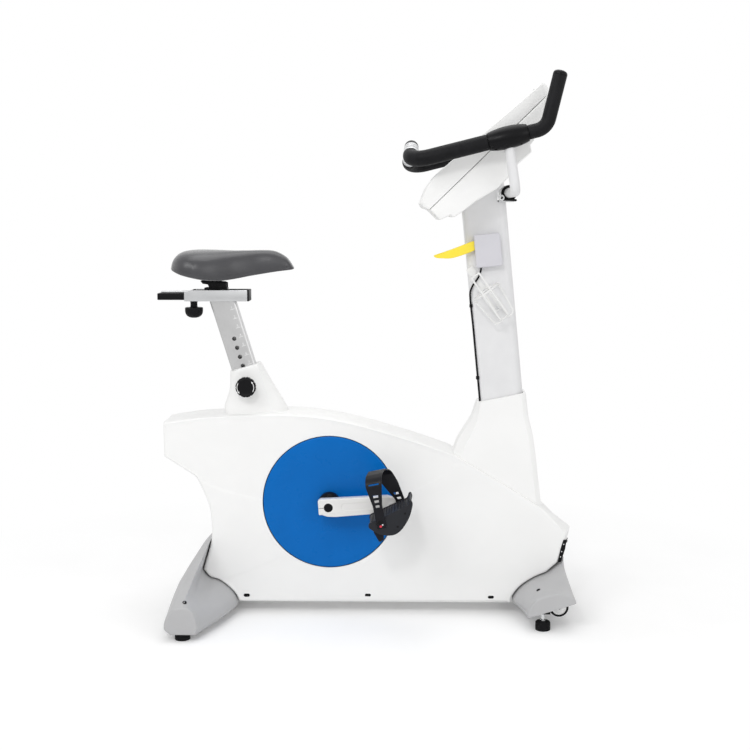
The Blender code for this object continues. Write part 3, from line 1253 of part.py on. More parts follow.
def clamp_cover(name, side, grey):
    """Barrel-shaped cover over the joint of the stem and the side bar."""
    front, rear = Vector(across(BARREL[0], side * BAR_HALF)), Vector(across(BARREL[2], side * BAR_HALF))
    half = (rear - front).length / 2 - GAP
    profile = [(0.0137, -half), (0.0215, -half), (0.0259, -half * 0.65), (0.0286, -half * 0.2),
               (0.0286, half * 0.2), (0.0259, half * 0.65), (0.0215, half), (0.0137, half)]
    cover = solid(name, turned(profile, (front + rear) / 2, rear - front, 18), grey)
    low, top = BARREL_FOOT[1], BARREL_FOOT[0]
    passage = cylinder(TUBE_R + 0.0015, (top[0], side * top[1], top[2]), (low[0], side * low[1], low[2]), 20)
    cut(cover, solid(name + "_stem_hole", passage, None))
    return cover


def pivot_bracket(dark):
    base = box((0.3545, -BRACKET_HALF, MAST_TOP + GAP), (0.398, BRACKET_HALF, MAST_TOP + 0.0053))
    plate = solid("pivot_bracket", base, dark)
    block = box((PIVOT[0] - 0.016, -BRACKET_HALF, MAST_TOP + 0.001),
                (PIVOT[0] + 0.0145, BRACKET_HALF, PIVOT[1] - 0.006))
    ring = cylinder(BRACKET_R, across(PIVOT, -BRACKET_HALF), across(PIVOT, BRACKET_HALF), 32)
    join(plate, solid("bracket_block", block, dark), solid("bracket_ring", ring, dark))
    cut(plate,
        solid("bracket_bore", cylinder(TUBE_R + 0.0004, across(PIVOT, -0.05), across(PIVOT, 0.05), 32), None))
    return plate


def pivot_lever(dark):
    inner = BRACKET_HALF + GAP
    hub = solid("pivot_lever", cylinder(0.008, across(LEVER, -inner), across(LEVER, -0.048), 20), dark,
                across(LEVER, -inner))
    shape = [(LEVER[0] - 0.004, LEVER[1] - 0.006), (LEVER[0] + 0.010, LEVER[1] - 0.0075),
             (LEVER[0] + 0.038, LEVER[1] - 0.0095), (LEVER[0] + 0.042, LEVER[1] - 0.0065),
             (LEVER[0] + 0.039, LEVER[1] - 0.0035), (LEVER[0] + 0.012, LEVER[1] - 0.001),
             (LEVER[0], LEVER[1] + 0.006)]
    join(hub, solid("lever_arm", profile_block(shape, -0.047, -0.038), dark))
    return hub


# Parts on the mast

MODULE = (0.327, 0.998)
MODULE_HALF = (0.035, 0.044)
MODULE_IN = MAST_WIDE / 2 + GAP
MODULE_OUT = 0.0613
PADDLE_HINGE = (0.292, 1.010)


def on_module(along, up):
    return (MODULE[0] + along * cos(MAST_TILT) - up * sin(MAST_TILT),
            MODULE[1] + along * sin(MAST_TILT) + up * cos(MAST_TILT))


def module_box(lilac):
    corner = 0.007
    plan = [on_module(a, u) for a, u in oblong(2 * MODULE_HALF[0], 2 * MODULE_HALF[1], corner, 3)]
    rims = [(MODULE_IN, 0.0), (MODULE_OUT - 0.004, 0.0), (MODULE_OUT - 0.0012, 0.0012), (MODULE_OUT, 0.004)]
    body = solid("module_box", loft([[(x, -y, z) for x, z in (inset_outline(plan, depth) if depth else plan)]
                                     for y, depth in rims]), lilac)
    slot = box((PADDLE_HINGE[0] - 0.020, -0.0565, 0.9915), (PADDLE_HINGE[0] + 0.0075, -0.0385, 1.0275))
    pin = cylinder(0.0022, across(PADDLE_HINGE, -0.0375), across(PADDLE_HINGE, -0.0575), 12)
    cut(body, solid("paddle_slot", slot, None))
    join(body, solid("paddle_pin", pin, lilac))
    return body


def module_paddle(yellow):
    shape = [(0.2965, 1.004), (0.2965, 1.017), (0.2885, 1.0225), (0.262, 1.013), (0.239, 1.004),
             (0.208, 0.993),
             (0.1845, 0.985), (0.183, 0.981), (0.190, 0.9775), (0.204, 0.9765), (0.228, 0.9765),
             (0.256, 0.984),
             (0.2885, 0.9965)]
    rims = [(0.040, 0.0015), (0.0415, 0.0), (0.0535, 0.0), (0.055, 0.0015)]
    paddle = solid("module_paddle",
                   loft([[(x, -y, z) for x, z in (inset_outline(shape, depth) if depth else shape)]
                                          for y, depth in rims]), yellow, across(PADDLE_HINGE, -0.0475))
    bore = cylinder(0.0022 + 0.0004, across(PADDLE_HINGE, -0.03), across(PADDLE_HINGE, -0.07), 12)
    cut(paddle, solid("paddle_bore", bore, None))
    return paddle


CABLE_ROUTE = [(0.3095, -0.046, 0.9514), (0.3087, -0.046, 0.944), (0.304, -0.0450, 0.928),
               (0.293, -0.0425, 0.911),
               (0.286, -0.0390, 0.899), (0.2815, -0.0350, 0.884), (0.2820, -0.031, 0.868),
               (0.2842, -0.0291, 0.845)]


def module_cable(black):
    path = spline(CABLE_ROUTE, 2)
    for height in (0.800, 0.720, 0.650, CABLE_LOW):
        path.append(Vector((mast_rear(height) - GAP, -0.0291, height)))
    return solid("module_cable", tube(path, CABLE_R, 8), black)


CAGE_AT = (0.330, -0.0765, 0.877)
CAGE_DOWN = (0.58, -0.8146)
CAGE_R = 0.0385
WIRE_R = 0.0028


def in_cage(down, aside, out):
    """World point from a distance down the bottle, aside of it and away from the mast."""
    return Vector((CAGE_AT[0] + CAGE_DOWN[0] * down - CAGE_DOWN[1] * aside, CAGE_AT[1] - out,
                   CAGE_AT[2] + CAGE_DOWN[1] * down + CAGE_DOWN[0] * aside))


def bottle_cage(white):
    near, back = MAST_WIDE / 2 + GAP, MAST_WIDE / 2 + GAP + 0.003
    plan = [(-0.024, -0.016), (0.050, -0.016), (0.050, 0.016), (-0.024, 0.016), (-0.030, 0.006),
            (-0.068, 0.006), (-0.068, 0.011), (-0.090, 0.011), (-0.090, -0.011), (-0.068, -0.011),
            (-0.068, -0.006), (-0.030, -0.006)]
    sections = [[(in_cage(d, e, 0).x, -y, in_cage(d, e, 0).z) for d, e in plan] for y in (near, back)]
    cage = solid("bottle_cage", loft(sections), white)
    mid = -CAGE_AT[1] - back
    turns = [2 * pi * k / 16 for k in range(16)]
    maker = bmesh.new()
    rings = []
    for t in turns:
        rings.append([maker.verts.new(in_cage(-0.015 + WIRE_R * sin(q), (CAGE_R + WIRE_R * cos(q)) * cos(t),
                                              (CAGE_R + WIRE_R * cos(q)) * sin(t)))
                      for q in [2 * pi * j / 6 for j in range(6)]])
    ring_faces(maker, rings, closed=True)
    join(cage, solid("cage_hoop", maker, white))
    for label, way in SIDES:
        e = way * 0.012
        rail = rounded([in_cage(-0.069, e, CAGE_R - 0.001), in_cage(0.070, e, CAGE_R - 0.001),
                        in_cage(0.070, e, -mid + 0.0005), in_cage(0.030, e, -mid + 0.0005)], (0.018, 0.012),
                        3)
        side_wire = rounded([in_cage(-0.015, way * CAGE_R, 0), in_cage(0.074, way * 0.030, 0),
                             in_cage(0.074, way * 0.008, 0)], (0.012,), 3)
        join(cage, solid("cage_rail_" + label, tube(rail, WIRE_R, 6), white),
             solid("cage_side_" + label, tube(side_wire, WIRE_R * 0.9, 6), white))
    top = tube([in_cage(-0.069, -0.0125, CAGE_R - 0.001), in_cage(-0.069, 0.0125, CAGE_R - 0.001)],
               WIRE_R * 0.95, 6)
    low = tube([in_cage(0.0705, -0.0125, 0.0), in_cage(0.0705, 0.0125, 0.0)], WIRE_R * 0.9, 6)
    join(cage, solid("cage_top", top, white), solid("cage_low", low, white))
    return cage


# Mains inlet on the nose

INLET_AT = Vector((0.5437, -0.034, 0.178))
INLET_ACROSS = Vector((0.018, 0.069, 0.0)).normalized()
INLET_OUT = INLET_ACROSS.cross(Vector((0.019, 0.0, 0.062))).normalized()
INLET_UP = INLET_OUT.cross(INLET_ACROSS)


def inlet_block(low, high):
    """Block on the nose, from (across, up, out) to (across, up, out)."""
    def place(a, u, n):
        return INLET_AT + INLET_ACROSS * a + INLET_UP * u + INLET_OUT * n

    rings = []
    for n in (low[2], high[2]):
        rings.append([place(a, u, n) for a, u in ((low[0], low[1]), (high[0], low[1]), (high[0], high[1]),
                                                  (low[0], high[1]))])
    return loft(rings)


def inlet_panel(black):
    panel = solid("inlet_panel", inlet_block((-0.0195, -0.030, GAP), (0.0195, 0.028, 0.0042)), black)
    cut(panel, solid("rocker_hole", inlet_block((-0.0107, 0.0067, -0.01), (0.0107, 0.0223, 0.02)), None),
        solid("socket_recess", inlet_block((-0.0135, -0.024, 0.0016), (0.0135, -0.002, 0.02)), None))
    return panel


def rocker_switch(black):
    at = INLET_AT + INLET_UP * 0.0145 + INLET_OUT * 0.0045
    maker = inlet_block((-0.0100, 0.0080, 0.0022), (0.0100, 0.0210, 0.0066))
    return solid("rocker_switch", maker, black, at)


def main():
    remove_everything()
    white = finish("white_abs", (0.88, 0.88, 0.87), 0.38)
    light_grey = finish("light_grey_coated_steel", (0.62, 0.63, 0.65), 0.42)
    mid_grey = finish("grey_abs", (0.50, 0.51, 0.53), 0.45)
    dark_grey = finish("dark_grey_nylon", (0.09, 0.09, 0.10), 0.50)
    black = finish("black_nylon", (0.02, 0.02, 0.022), 0.45)
    rubber = finish("black_rubber", (0.02, 0.02, 0.02), 0.80)
    foam = finish("black_foam", (0.025, 0.025, 0.027), 0.90)
    skin = finish("saddle_skin", (0.05, 0.05, 0.055), 0.55)
    blue = finish("blue_abs", (0.0, 0.13, 0.48), 0.30)
    steel = finish("brushed_steel", (0.55, 0.56, 0.57), 0.32, 1.0)
    coated = finish("black_coated_steel", (0.03, 0.03, 0.032), 0.45)
    alloy = finish("light_grey_coated_alloy", (0.72, 0.72, 0.73), 0.38)
    iron = finish("cast_iron", (0.14, 0.14, 0.145), 0.55, 1.0)
    bright = finish("bright_steel", (0.70, 0.70, 0.71), 0.18, 1.0)
    glass = finish("screen_glass", (0.02, 0.025, 0.03), 0.08)
    lilac = finish("lavender_grey_abs", (0.62, 0.62, 0.70), 0.40)
    yellow = finish("yellow_abs", (0.95, 0.72, 0.05), 0.40)

    main_frame(coated)
    stabiliser("rear_stabiliser", STAB_REAR_X, REAR_HALF - STAB_SHORT, coated, REAR_FOOT_Y)
    front_tube = stabiliser("front_stabiliser", STAB_FRONT_X, FRONT_HALF - STAB_SHORT, coated, FRONT_FOOT_Y)
    wheel_arms(front_tube, coated)
    for label, side in SIDES:
        rear_foot_cover("rear_foot_cover_" + label, side, mid_grey)
        front_foot_cover("front_foot_cover_" + label, side, mid_grey)
        levelling_foot("levelling_foot_rear_" + label, STAB_REAR_X, side * REAR_FOOT_Y, FOOT_TALL, rubber)
        levelling_foot("levelling_foot_front_" + label, STAB_FRONT_X, side * FRONT_FOOT_Y, FRONT_FOOT_TALL,
                       rubber)
        transport_wheel("transport_wheel_" + label, side, rubber)
        casing("casing_" + label, side, white)
        axle_bearing("bearing_" + label, side, bright)
        wheel_disc("disc_" + label, side, blue)
        crank("crank_" + label, side, alloy)
        pedal("pedal_" + label, side, dark_grey)
        pedal_strap("pedal_strap_" + label, side, rubber)
        horn_grip("horn_grip_" + label, side, foam)
        bar_grip("bar_grip_" + label, side, foam)
        clamp_cover("clamp_cover_" + label, side, black)
    mast_cover(white)
    seat_post_cover(white)
    mast(light_grey)
    console_front(white)
    console_back(white)
    display_panel(glass)
    handlebar(light_grey)
    pulse_sensor_bar(black)
    pivot_bracket(black)
    pivot_lever(black)
    module_box(lilac)
    module_paddle(yellow)
    module_cable(black)
    bottle_cage(white)
    crank_axle(coated)
    drive_pulley(black)
    drive_belt(rubber)
    flywheel(iron)
    brake_coil(coated)
    inlet_panel(black)
    rocker_switch(black)
    seat_post(steel)
    seat_rail(steel)
    seat_slider(black)
    saddle_clamp(black)
    saddle_base(dark_grey)
    saddle(skin)
    fore_aft_knob(black)
    height_knob(black)


main()
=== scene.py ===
"""Looks of the rehabilitation ergometer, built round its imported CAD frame.

Metres, +Z up, +X towards the mast, +Y to the rider's left, as in the frame.
"""

from math import cos, pi, radians, sin, tan

import bmesh
import bpy
from mathutils import Matrix, Vector
from mathutils.geometry import delaunay_2d_cdt


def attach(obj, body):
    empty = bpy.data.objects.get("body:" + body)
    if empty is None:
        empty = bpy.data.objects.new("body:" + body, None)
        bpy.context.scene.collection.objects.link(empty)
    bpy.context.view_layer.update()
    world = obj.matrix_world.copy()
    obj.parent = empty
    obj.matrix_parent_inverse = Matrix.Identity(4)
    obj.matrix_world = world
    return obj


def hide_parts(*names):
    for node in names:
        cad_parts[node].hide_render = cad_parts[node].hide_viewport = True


bl_info = {
    "name": "Rehabilitation Ergometer", "version": (1, 0, 0), "blender": (4, 5, 0),
    "location": "3D View > Sidebar > Ergometer",
    "description": "Builds the looks of an upright pedal trainer on its CAD frame", "category": "Object", }

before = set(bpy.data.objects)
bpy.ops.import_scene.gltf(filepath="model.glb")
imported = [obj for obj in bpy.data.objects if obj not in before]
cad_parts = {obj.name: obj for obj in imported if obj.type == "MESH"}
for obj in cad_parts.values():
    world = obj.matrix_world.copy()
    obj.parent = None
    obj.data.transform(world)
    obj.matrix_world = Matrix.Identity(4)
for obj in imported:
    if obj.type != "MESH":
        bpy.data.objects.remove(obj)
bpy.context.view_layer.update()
SIDES = (("right", -1.0), ("left", 1.0))


# Places that the CAD gives

GAP = 0.0003
AXLE = (-0.098, 0.315)
CRANK_ANGLE = radians(3.4)
CRANK_LENGTH = 0.17
CRANK_IN, CRANK_OUT = 0.12, 0.145
SPINDLE_DROP = 0.0075
PEDAL_TILT = radians(25)
PEDAL_IN, PEDAL_OUT = 0.158, 0.262
PEDAL_TOP = 0.011
STRAP_LOW = -0.0145
STRAP_LEAN = radians(14)
STRAP_INNER, STRAP_OUTER = PEDAL_IN - GAP - 0.002, PEDAL_OUT + GAP + 0.002
STRAP_WALL = 0.0032
POST_TILT = radians(17)
POST_POINT = (-0.3905, 0.856)
MAST_TILT = radians(5.75)
MAST_POINT = (0.3699, 0.6)
LEAD_Y = -0.0291
PIN_HEIGHT = 0.632
PIN_PITCH = 0.026
TILT_BOLT = (-0.413, 0.906)
PIVOT = (0.383, 1.15)
SCREEN_FOOT = (0.181, 1.193)
SCREEN_ALONG = (0.7601, 0.6499)
SCREEN_OUT = (-0.6499, 0.7601)
BAR_HALF = 0.235


def linear(code):
    """Linear colour of an sRGB hex value."""
    parts = [int(code[i:i + 2], 16) / 255 for i in (1, 3, 5)]
    return [c / 12.92 if c <= 0.04045 else ((c + 0.055) / 1.055) ** 2.4 for c in parts]


def colour(name, code, words):
    return bpy.props.FloatVectorProperty(
        name=name, description=words, subtype="COLOR", size=3, min=0.0, max=1.0, default=linear(code))


def size(name, metres, words):
    return bpy.props.FloatProperty(name=name, description=words, unit="LENGTH", default=metres, min=0.0)


class ErgometerColours(bpy.types.PropertyGroup):
    casing: colour("Casing", "#F6F6F5", "Casing halves, post and mast covers, console")
    covers: colour("Foot covers", "#B9B9BA", "Grey covers over the stabilisers")
    mast: colour("Mast and stems", "#E6E6E7", "Powder coat on the mast and the handlebar")
    disc: colour("Wheel discs", "#0169BC", "Blue discs behind the cranks")
    saddle: colour("Saddle", "#414144", "Moulded skin of the saddle")
    crank: colour("Cranks", "#E9E8E6", "Coated crank arms")
    module: colour("Module box", "#D3D2D8", "Box at the side of the mast")
    paddle: colour("Paddle", "#FFE740", "Paddle of the module box")


class ErgometerSizes(bpy.types.PropertyGroup):
    shoulder: size("Casing shoulder", 0.007, "Radius between the casing's side and its rim")
    crease: size("Casing crease", 0.0012, "Depth of the soft steps pressed in the casing's side")
    rib_pitch: size("Pedal rib pitch", 0.0078, "Spacing of the ribs on the pedals")
    button: size("Strap button", 0.0136, "Width of the buttons on the pedal straps")
    tick: size("Scale tick", 0.0125, "Length of the ticks on the seat post")
    groove: size("Saddle groove", 0.0035, "Depth of the soft channel along the middle of the saddle")


def sizes():
    return bpy.context.scene.ergometer_sizes


# Mesh making

def spline(points, steps):
    """Smooth curve through points, with the same number of steps in each span."""
    known = [Vector(p) for p in points]
    known = [known[0] * 2 - known[1]] + known + [known[-1] * 2 - known[-2]]
    curve = []
    for a, b, c, d in zip(known, known[1:], known[2:], known[3:]):
        for k in range(steps):
            t = k / steps
            curve.append(0.5 * (2 * b + (c - a) * t + (2 * a - 5 * b + 4 * c - d) * t ** 2
                                + (3 * b - a - 3 * c + d) * t ** 3))
    return curve + [known[-2]]


def chain(runs, steps):
    """Closed outline from smooth runs that meet in corners; a run of two points is straight."""
    outline = []
    for run in runs:
        outline += [tuple(p) for p in (spline(run, steps) if len(run) > 2 else run)][:-1]
    return outline


def smooth_ring(points, corners, steps):
    """Closed ring through 3D points, smooth apart from its corners."""
    count = len(points)
    ring = []
    for first, last in zip(corners, corners[1:] + (corners[0] + count,)):
        run = [points[k % count] for k in range(first, last + 1)]
        ring += (spline(run, steps) if len(run) > 2 else [Vector(p) for p in run])[:-1]
    return ring


def swept(rows, corners):
    """Rings through rows of points, smooth up the rows and round them apart from the corners."""
    columns = [spline(column, 5) for column in zip(*rows)]
    return [smooth_ring([column[k] for column in columns], corners, 4) for k in range(len(columns[0]))]


def rounded(points, radii, steps):
    """Open path of straight runs whose inner corners are arcs of the given radii."""
    known = [Vector(p) for p in points]
    path = [known[0]]
    for before, corner, after, radius in zip(known, known[1:], known[2:], radii):
        to_before = (before - corner).normalized()
        to_after = (after - corner).normalized()
        half = to_before.angle(to_after) / 2
        centre = corner + (to_before + to_after).normalized() * (radius / sin(half))
        start = corner + to_before * radius / tan(half) - centre
        end = corner + to_after * radius / tan(half) - centre
        sweep = start.angle(end)
        for k in range(steps + 1):
            share = k / steps
            path.append(centre + (start * sin((1 - share) * sweep) + end * sin(share * sweep)) / sin(sweep))
    path.append(known[-1])
    return path


def inset(outline, depth):
    """Closed outline with each side moved inwards by a depth."""
    if not depth:
        return list(outline)
    count = len(outline)
    area = sum(a[0] * b[1] - b[0] * a[1] for a, b in zip(outline, outline[1:] + outline[:1]))
    turn = 1.0 if area > 0 else -1.0
    moved = []
    for i in range(count):
        a, b, c = (Vector(outline[k % count]) for k in (i - 1, i, i + 1))
        first, second = (b - a).normalized(), (c - b).normalized()
        normal = Vector((-first.y, first.x)) * turn
        middle = (normal + Vector((-second.y, second.x)) * turn).normalized()
        moved.append(tuple(b + middle * (depth / max(middle.dot(normal), 0.35))))
    return moved


def oblong(length, width, corner, steps, centre=(0.0, 0.0)):
    """Rounded rectangle about a centre, as (along, across) pairs."""
    points = []
    for sx, sy, start in ((1, 1, 0.0), (-1, 1, pi / 2), (-1, -1, pi), (1, -1, 1.5 * pi)):
        for k in range(steps + 1):
            t = start + pi / 2 * k / steps
            points.append((centre[0] + (sx * (length / 2 - corner) + corner * cos(t)),
                           centre[1] + (sy * (width / 2 - corner) + corner * sin(t))))
    return points


def circle(radius, steps, centre=(0.0, 0.0)):
    return [(centre[0] + radius * cos(2 * pi * k / steps), centre[1] + radius * sin(2 * pi * k / steps))
            for k in range(steps)]


def skin(maker, rings, closed=False):
    for low, high in list(zip(rings, rings[1:])) + ([(rings[-1], rings[0])] if closed else []):
        for i in range(len(low)):
            j = (i + 1) % len(low)
            maker.faces.new((low[i], low[j], high[j], high[i]))


def loft(sections, caps=(True, True), closed=False, maker=None):
    """Skin through rings of equal point count, capped where asked."""
    maker = maker or bmesh.new()
    rings = [[maker.verts.new(point) for point in section] for section in sections]
    skin(maker, rings, closed)
    if caps[0] and not closed:
        maker.faces.new(rings[0])
    if caps[1] and not closed:
        maker.faces.new(rings[-1])
    return maker


def rims(near, far, edge, steps=4):
    """Levels across a moulding and how far its outline draws in there, to round both its edges."""
    way = 1 if far > near else -1
    arc = [(edge * (1 - cos(pi / 2 * k / steps)), edge * (1 - sin(pi / 2 * k / steps)))
           for k in range(steps + 1)]
    return ([(near + way * rise, draw) for rise, draw in arc]
            + [(far - way * rise, draw) for rise, draw in arc[::-1]])


def moulding(outline, near, far, edge, place=None, steps=4, maker=None):
    """Slab of an outline between two levels, with rounded edges. place(a, b, level) gives its points."""
    place = place or (lambda a, b, level: (a, level, b))
    return loft([[place(a, b, level) for a, b in inset(outline, draw)]
                 for level, draw in rims(near, far, edge, steps)], maker=maker)


def lathe(profile, centre, axis, steps, maker=None, closed=True, wave=None):
    """Turn a profile of (radius, distance along) about an axis. wave(angle, radius) scales a radius."""
    maker = maker or bmesh.new()
    place = Matrix.Translation(centre) @ Vector(axis).to_track_quat("Z", "Y").to_matrix().to_4x4()
    rings = []
    for radius, along in profile:
        if radius < 1e-7:
            rings.append([maker.verts.new(place @ Vector((0, 0, along)))])
            continue
        turns = [2 * pi * k / steps for k in range(steps)]
        reaches = [radius * (wave(t, radius) if wave else 1.0) for t in turns]
        rings.append([maker.verts.new(place @ Vector((r * cos(t), r * sin(t), along)))
                      for r, t in zip(reaches, turns)])
    for low, high in zip(rings, rings[1:] + (rings[:1] if closed else [])):
        if len(low) == 1 and len(high) == 1:
            continue
        for i in range(steps):
            j = (i + 1) % steps
            corners = (low[i % len(low)], low[j % len(low)], high[j % len(high)], high[i % len(high)])
            maker.faces.new(tuple(dict.fromkeys(corners)))
    return maker


def notched(depth, count, power, rim):
    """Wave for a lathe that cuts evenly spaced notches into what lies outside a radius."""
    return lambda turn, radius: 1 - depth * max(0, cos(count * turn)) ** power if radius > rim else 1.0


def rod(radius, low, high, centre, axis, steps):
    """Round bar or bore about an axis, from a low to a high distance along it."""
    return lathe([(0, low), (radius, low), (radius, high), (0, high)], centre, axis, steps)


def both_ways(half, middle=()):
    """Profile that is alike on both sides of its middle, from its first half."""
    return half + list(middle) + [(radius, -along) for radius, along in half[::-1]]


def tube(path, radius, sides=24, maker=None, section=None, caps=True, closed=False):
    """Bar along a path. radius is a number or one for each point, section an outline used instead."""
    path = [Vector(p) for p in path]
    maker = maker or bmesh.new()
    count = len(path)
    tangents = []
    for i in range(count):
        before = path[(i - 1) % count if closed else max(i - 1, 0)]
        after = path[(i + 1) % count if closed else min(i + 1, count - 1)]
        tangents.append((after - before).normalized())
    side = Vector((0, 0, 1)).cross(tangents[0])
    side = (side if side.length > 0.1 else tangents[0].orthogonal()).normalized()
    rings = []
    for k, tangent in enumerate(tangents):
        if k:
            side = tangents[k - 1].rotation_difference(tangent) @ side
        side = (side - tangent * side.dot(tangent)).normalized()
        up = tangent.cross(side)
        reach = radius[k] if hasattr(radius, "__len__") else radius
        outline = section or circle(1.0, sides)
        rings.append([maker.verts.new(path[k] + (side * a + up * b) * reach) for a, b in outline])
    skin(maker, rings, closed)
    if caps and not closed:
        maker.faces.new(rings[0])
        maker.faces.new(rings[-1])
    return maker


def between(x, table):
    for (x0, v0), (x1, v1) in zip(table, table[1:]):
        if x <= x1:
            return v0 + (v1 - v0) * (x - x0) / (x1 - x0)
    return table[-1][1]


def leaning(point, tilt, height):
    return point[0] - (height - point[1]) * tan(tilt)


def leaning_rings(section, point, tilt, heights):
    """Level rings of a section about an axis that leans back, one at each height."""
    return [[(leaning(point, tilt, height) + a / cos(tilt), b, height) for a, b in section]
            for height in heights]


def inside(point, outline):
    hit = False
    for (x0, z0), (x1, z1) in zip(outline, outline[1:] + outline[:1]):
        if (z0 > point[1]) != (z1 > point[1]):
            if point[0] < x0 + (x1 - x0) * (point[1] - z0) / (z1 - z0):
                hit = not hit
    return hit


def panel(outer, holes, extra, place, maker):
    """Face inside a closed outline, less its holes, split into triangles at extra points."""
    coords, edges = [], []
    for line in [outer] + holes:
        first = len(coords)
        coords += [Vector(p) for p in line]
        edges += [(first + k, first + (k + 1) % len(line)) for k in range(len(line))]
    coords += [Vector(p) for p in extra]
    points, _, faces, *_ = delaunay_2d_cdt(coords, edges, [], 0, 1e-7)
    corners = [maker.verts.new(place(p.x, p.y)) for p in points]
    for face in faces:
        middle = sum((points[k] for k in face), Vector((0, 0))) / len(face)
        if inside(middle, outer) and not any(inside(middle, hole) for hole in holes):
            maker.faces.new([corners[k] for k in face])


def shown(name, data):
    """Object of the scene from its data."""
    made = bpy.data.objects.new(name, data)
    bpy.context.scene.collection.objects.link(made)
    return made


def meshed(name, maker):
    """Object from a bmesh, which is used up."""
    mesh = bpy.data.meshes.new(name)
    maker.to_mesh(mesh)
    maker.free()
    return shown(name, mesh)


def shaded(mesh, sharp):
    mesh.shade_smooth()
    mesh.set_sharp_from_angle(angle=radians(sharp))


def piece(name, maker, look, body, stands_for=None, sharp=35, bevel=0.0, weld=1e-6):
    """Make a shown piece with a finish from a bmesh, and let it ride on its CAD body."""
    bmesh.ops.remove_doubles(maker, verts=maker.verts, dist=weld)
    bmesh.ops.recalc_face_normals(maker, faces=maker.faces)
    made = meshed(name, maker)
    shaded(made.data, sharp)
    made.data.materials.append(FINISH[look])
    if bevel:
        step = made.modifiers.new("edge", "BEVEL")
        step.width = bevel
        step.segments = 2
        step.angle_limit = radians(40)
        settle(made, sharp)
    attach(made, body)
    if stands_for:
        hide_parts(stands_for)
    return made


def settle(made, sharp=35):
    """Apply a piece's modifiers to its mesh."""
    bpy.context.view_layer.update()
    mesh = bpy.data.meshes.new_from_object(made.evaluated_get(bpy.context.evaluated_depsgraph_get()))
    made.modifiers.clear()
    made.data = mesh
    shaded(mesh, sharp)


def carve(made, cutters, sharp=35, operation="DIFFERENCE"):
    """Cut closed bmeshes from a piece, or keep what lies inside them."""
    tools = []
    for maker in cutters:
        bmesh.ops.recalc_face_normals(maker, faces=maker.faces)
        tools.append(meshed("cutter", maker))
        step = made.modifiers.new("cut", "BOOLEAN")
        step.operation = operation
        step.solver = "EXACT"
        step.object = tools[-1]
    settle(made, sharp)
    for tool in tools:
        bpy.data.objects.remove(tool)


def block(low, high):
    return loft(
        [[(x, y, z) for x, y in ((low[0], low[1]), (high[0], low[1]), (high[0], high[1]), (low[0], high[1]))]
         for z in (low[2], high[2])])


def sheet(maker, points):
    """Flat face through points."""
    maker.faces.new([maker.verts.new(point) for point in points])


def across(point, y):
    """Point of a side view, at a distance across."""
    return (point[0], y, point[1])


def along_x(a, b, level):
    return (level, a, b)


def along_z(a, b, level):
    return (a, b, level)


# Finishes

def add(tree, kind, sockets=None, stops=(), **settings):
    """Add a node: settings are its properties, sockets its inputs, each a value or an output to link,
    and stops the places and colours of its ramp."""
    made = tree.nodes.new(kind)
    for name, value in settings.items():
        setattr(made, name, value)
    for name, value in (sockets or {}).items():
        if isinstance(value, bpy.types.NodeSocket):
            tree.links.new(value, made.inputs[name])
        else:
            made.inputs[name].default_value = value
    for k, (place, rgb) in enumerate(stops):
        made.color_ramp.elements[k].position = place
        made.color_ramp.elements[k].color = (*rgb, 1.0)
    return made


def started(name):
    look = bpy.data.materials.new(name)
    look.use_nodes = True
    look.node_tree.nodes.clear()
    return look, look.node_tree, add(look.node_tree, "ShaderNodeTexCoord").outputs["Object"]


def per(millimetres):
    """Texture scale whose features are about that far apart."""
    return 1000.0 / millimetres


def surface(tree, tones, wear, sockets, low=0.35, high=0.65):
    """Shader whose colour and roughness follow patterns: tones and wear are a pattern and its two ends."""
    pattern, dark, light = tones
    ramp = add(tree, "ShaderNodeValToRGB", {"Fac": pattern}, ((low, dark), (high, light)))
    pattern, smooth, dull = wear
    rough = add(tree, "ShaderNodeMapRange", {"Value": pattern, "From Min": 0.3, "From Max": 0.7,
                                             "To Min": smooth, "To Max": dull})
    shader = add(tree, "ShaderNodeBsdfPrincipled",
                 {"Base Color": ramp.outputs["Color"], "Roughness": rough.outputs["Result"], **sockets})
    add(tree, "ShaderNodeOutputMaterial", {"Surface": shader.outputs["BSDF"]})


def darker(rgb, share):
    return [c * share for c in rgb]


def moulded(name, rgb, roughness, grain, depth, spread=0.03, ior=1.54):
    """Injection-moulded plastic: even colour, slow flow shades and a spark-eroded grain."""
    look, tree, place = started(name)
    flow = add(tree, "ShaderNodeTexNoise", {"Vector": place, "Scale": per(90), "Detail": 3}).outputs["Fac"]
    fine = add(tree, "ShaderNodeTexNoise", {"Vector": place, "Scale": per(grain), "Detail": 4,
                                            "Roughness": 0.6}).outputs["Fac"]
    handled = add(tree, "ShaderNodeTexNoise", {"Vector": place, "Scale": per(28),
                                               "Detail": 5}).outputs["Fac"]
    bump = add(tree, "ShaderNodeBump", {"Height": fine, "Strength": 0.35, "Distance": depth})
    surface(tree, (flow, darker(rgb, 1 - spread), rgb), (handled, roughness - 0.05, roughness + 0.05),
            {"Normal": bump.outputs["Normal"], "IOR": ior})
    return look


def coated(name, rgb, roughness, peel, depth, ior=1.5, coat=0.25):
    """Powder coat baked on steel: satin, with the soft dimples of orange peel."""
    look, tree, place = started(name)
    dimples = add(tree, "ShaderNodeTexVoronoi", {"Vector": place, "Scale": per(peel)},
                  feature="SMOOTH_F1").outputs["Distance"]
    cloud = add(tree, "ShaderNodeTexNoise", {"Vector": place, "Scale": per(60), "Detail": 4}).outputs["Fac"]
    bump = add(tree, "ShaderNodeBump", {"Height": dimples, "Strength": 0.3, "Distance": depth})
    surface(tree, (cloud, darker(rgb, 0.96), rgb), (cloud, roughness - 0.04, roughness + 0.04),
            {"Normal": bump.outputs["Normal"], "IOR": ior, "Coat Weight": coat, "Coat Roughness": 0.25})
    return look


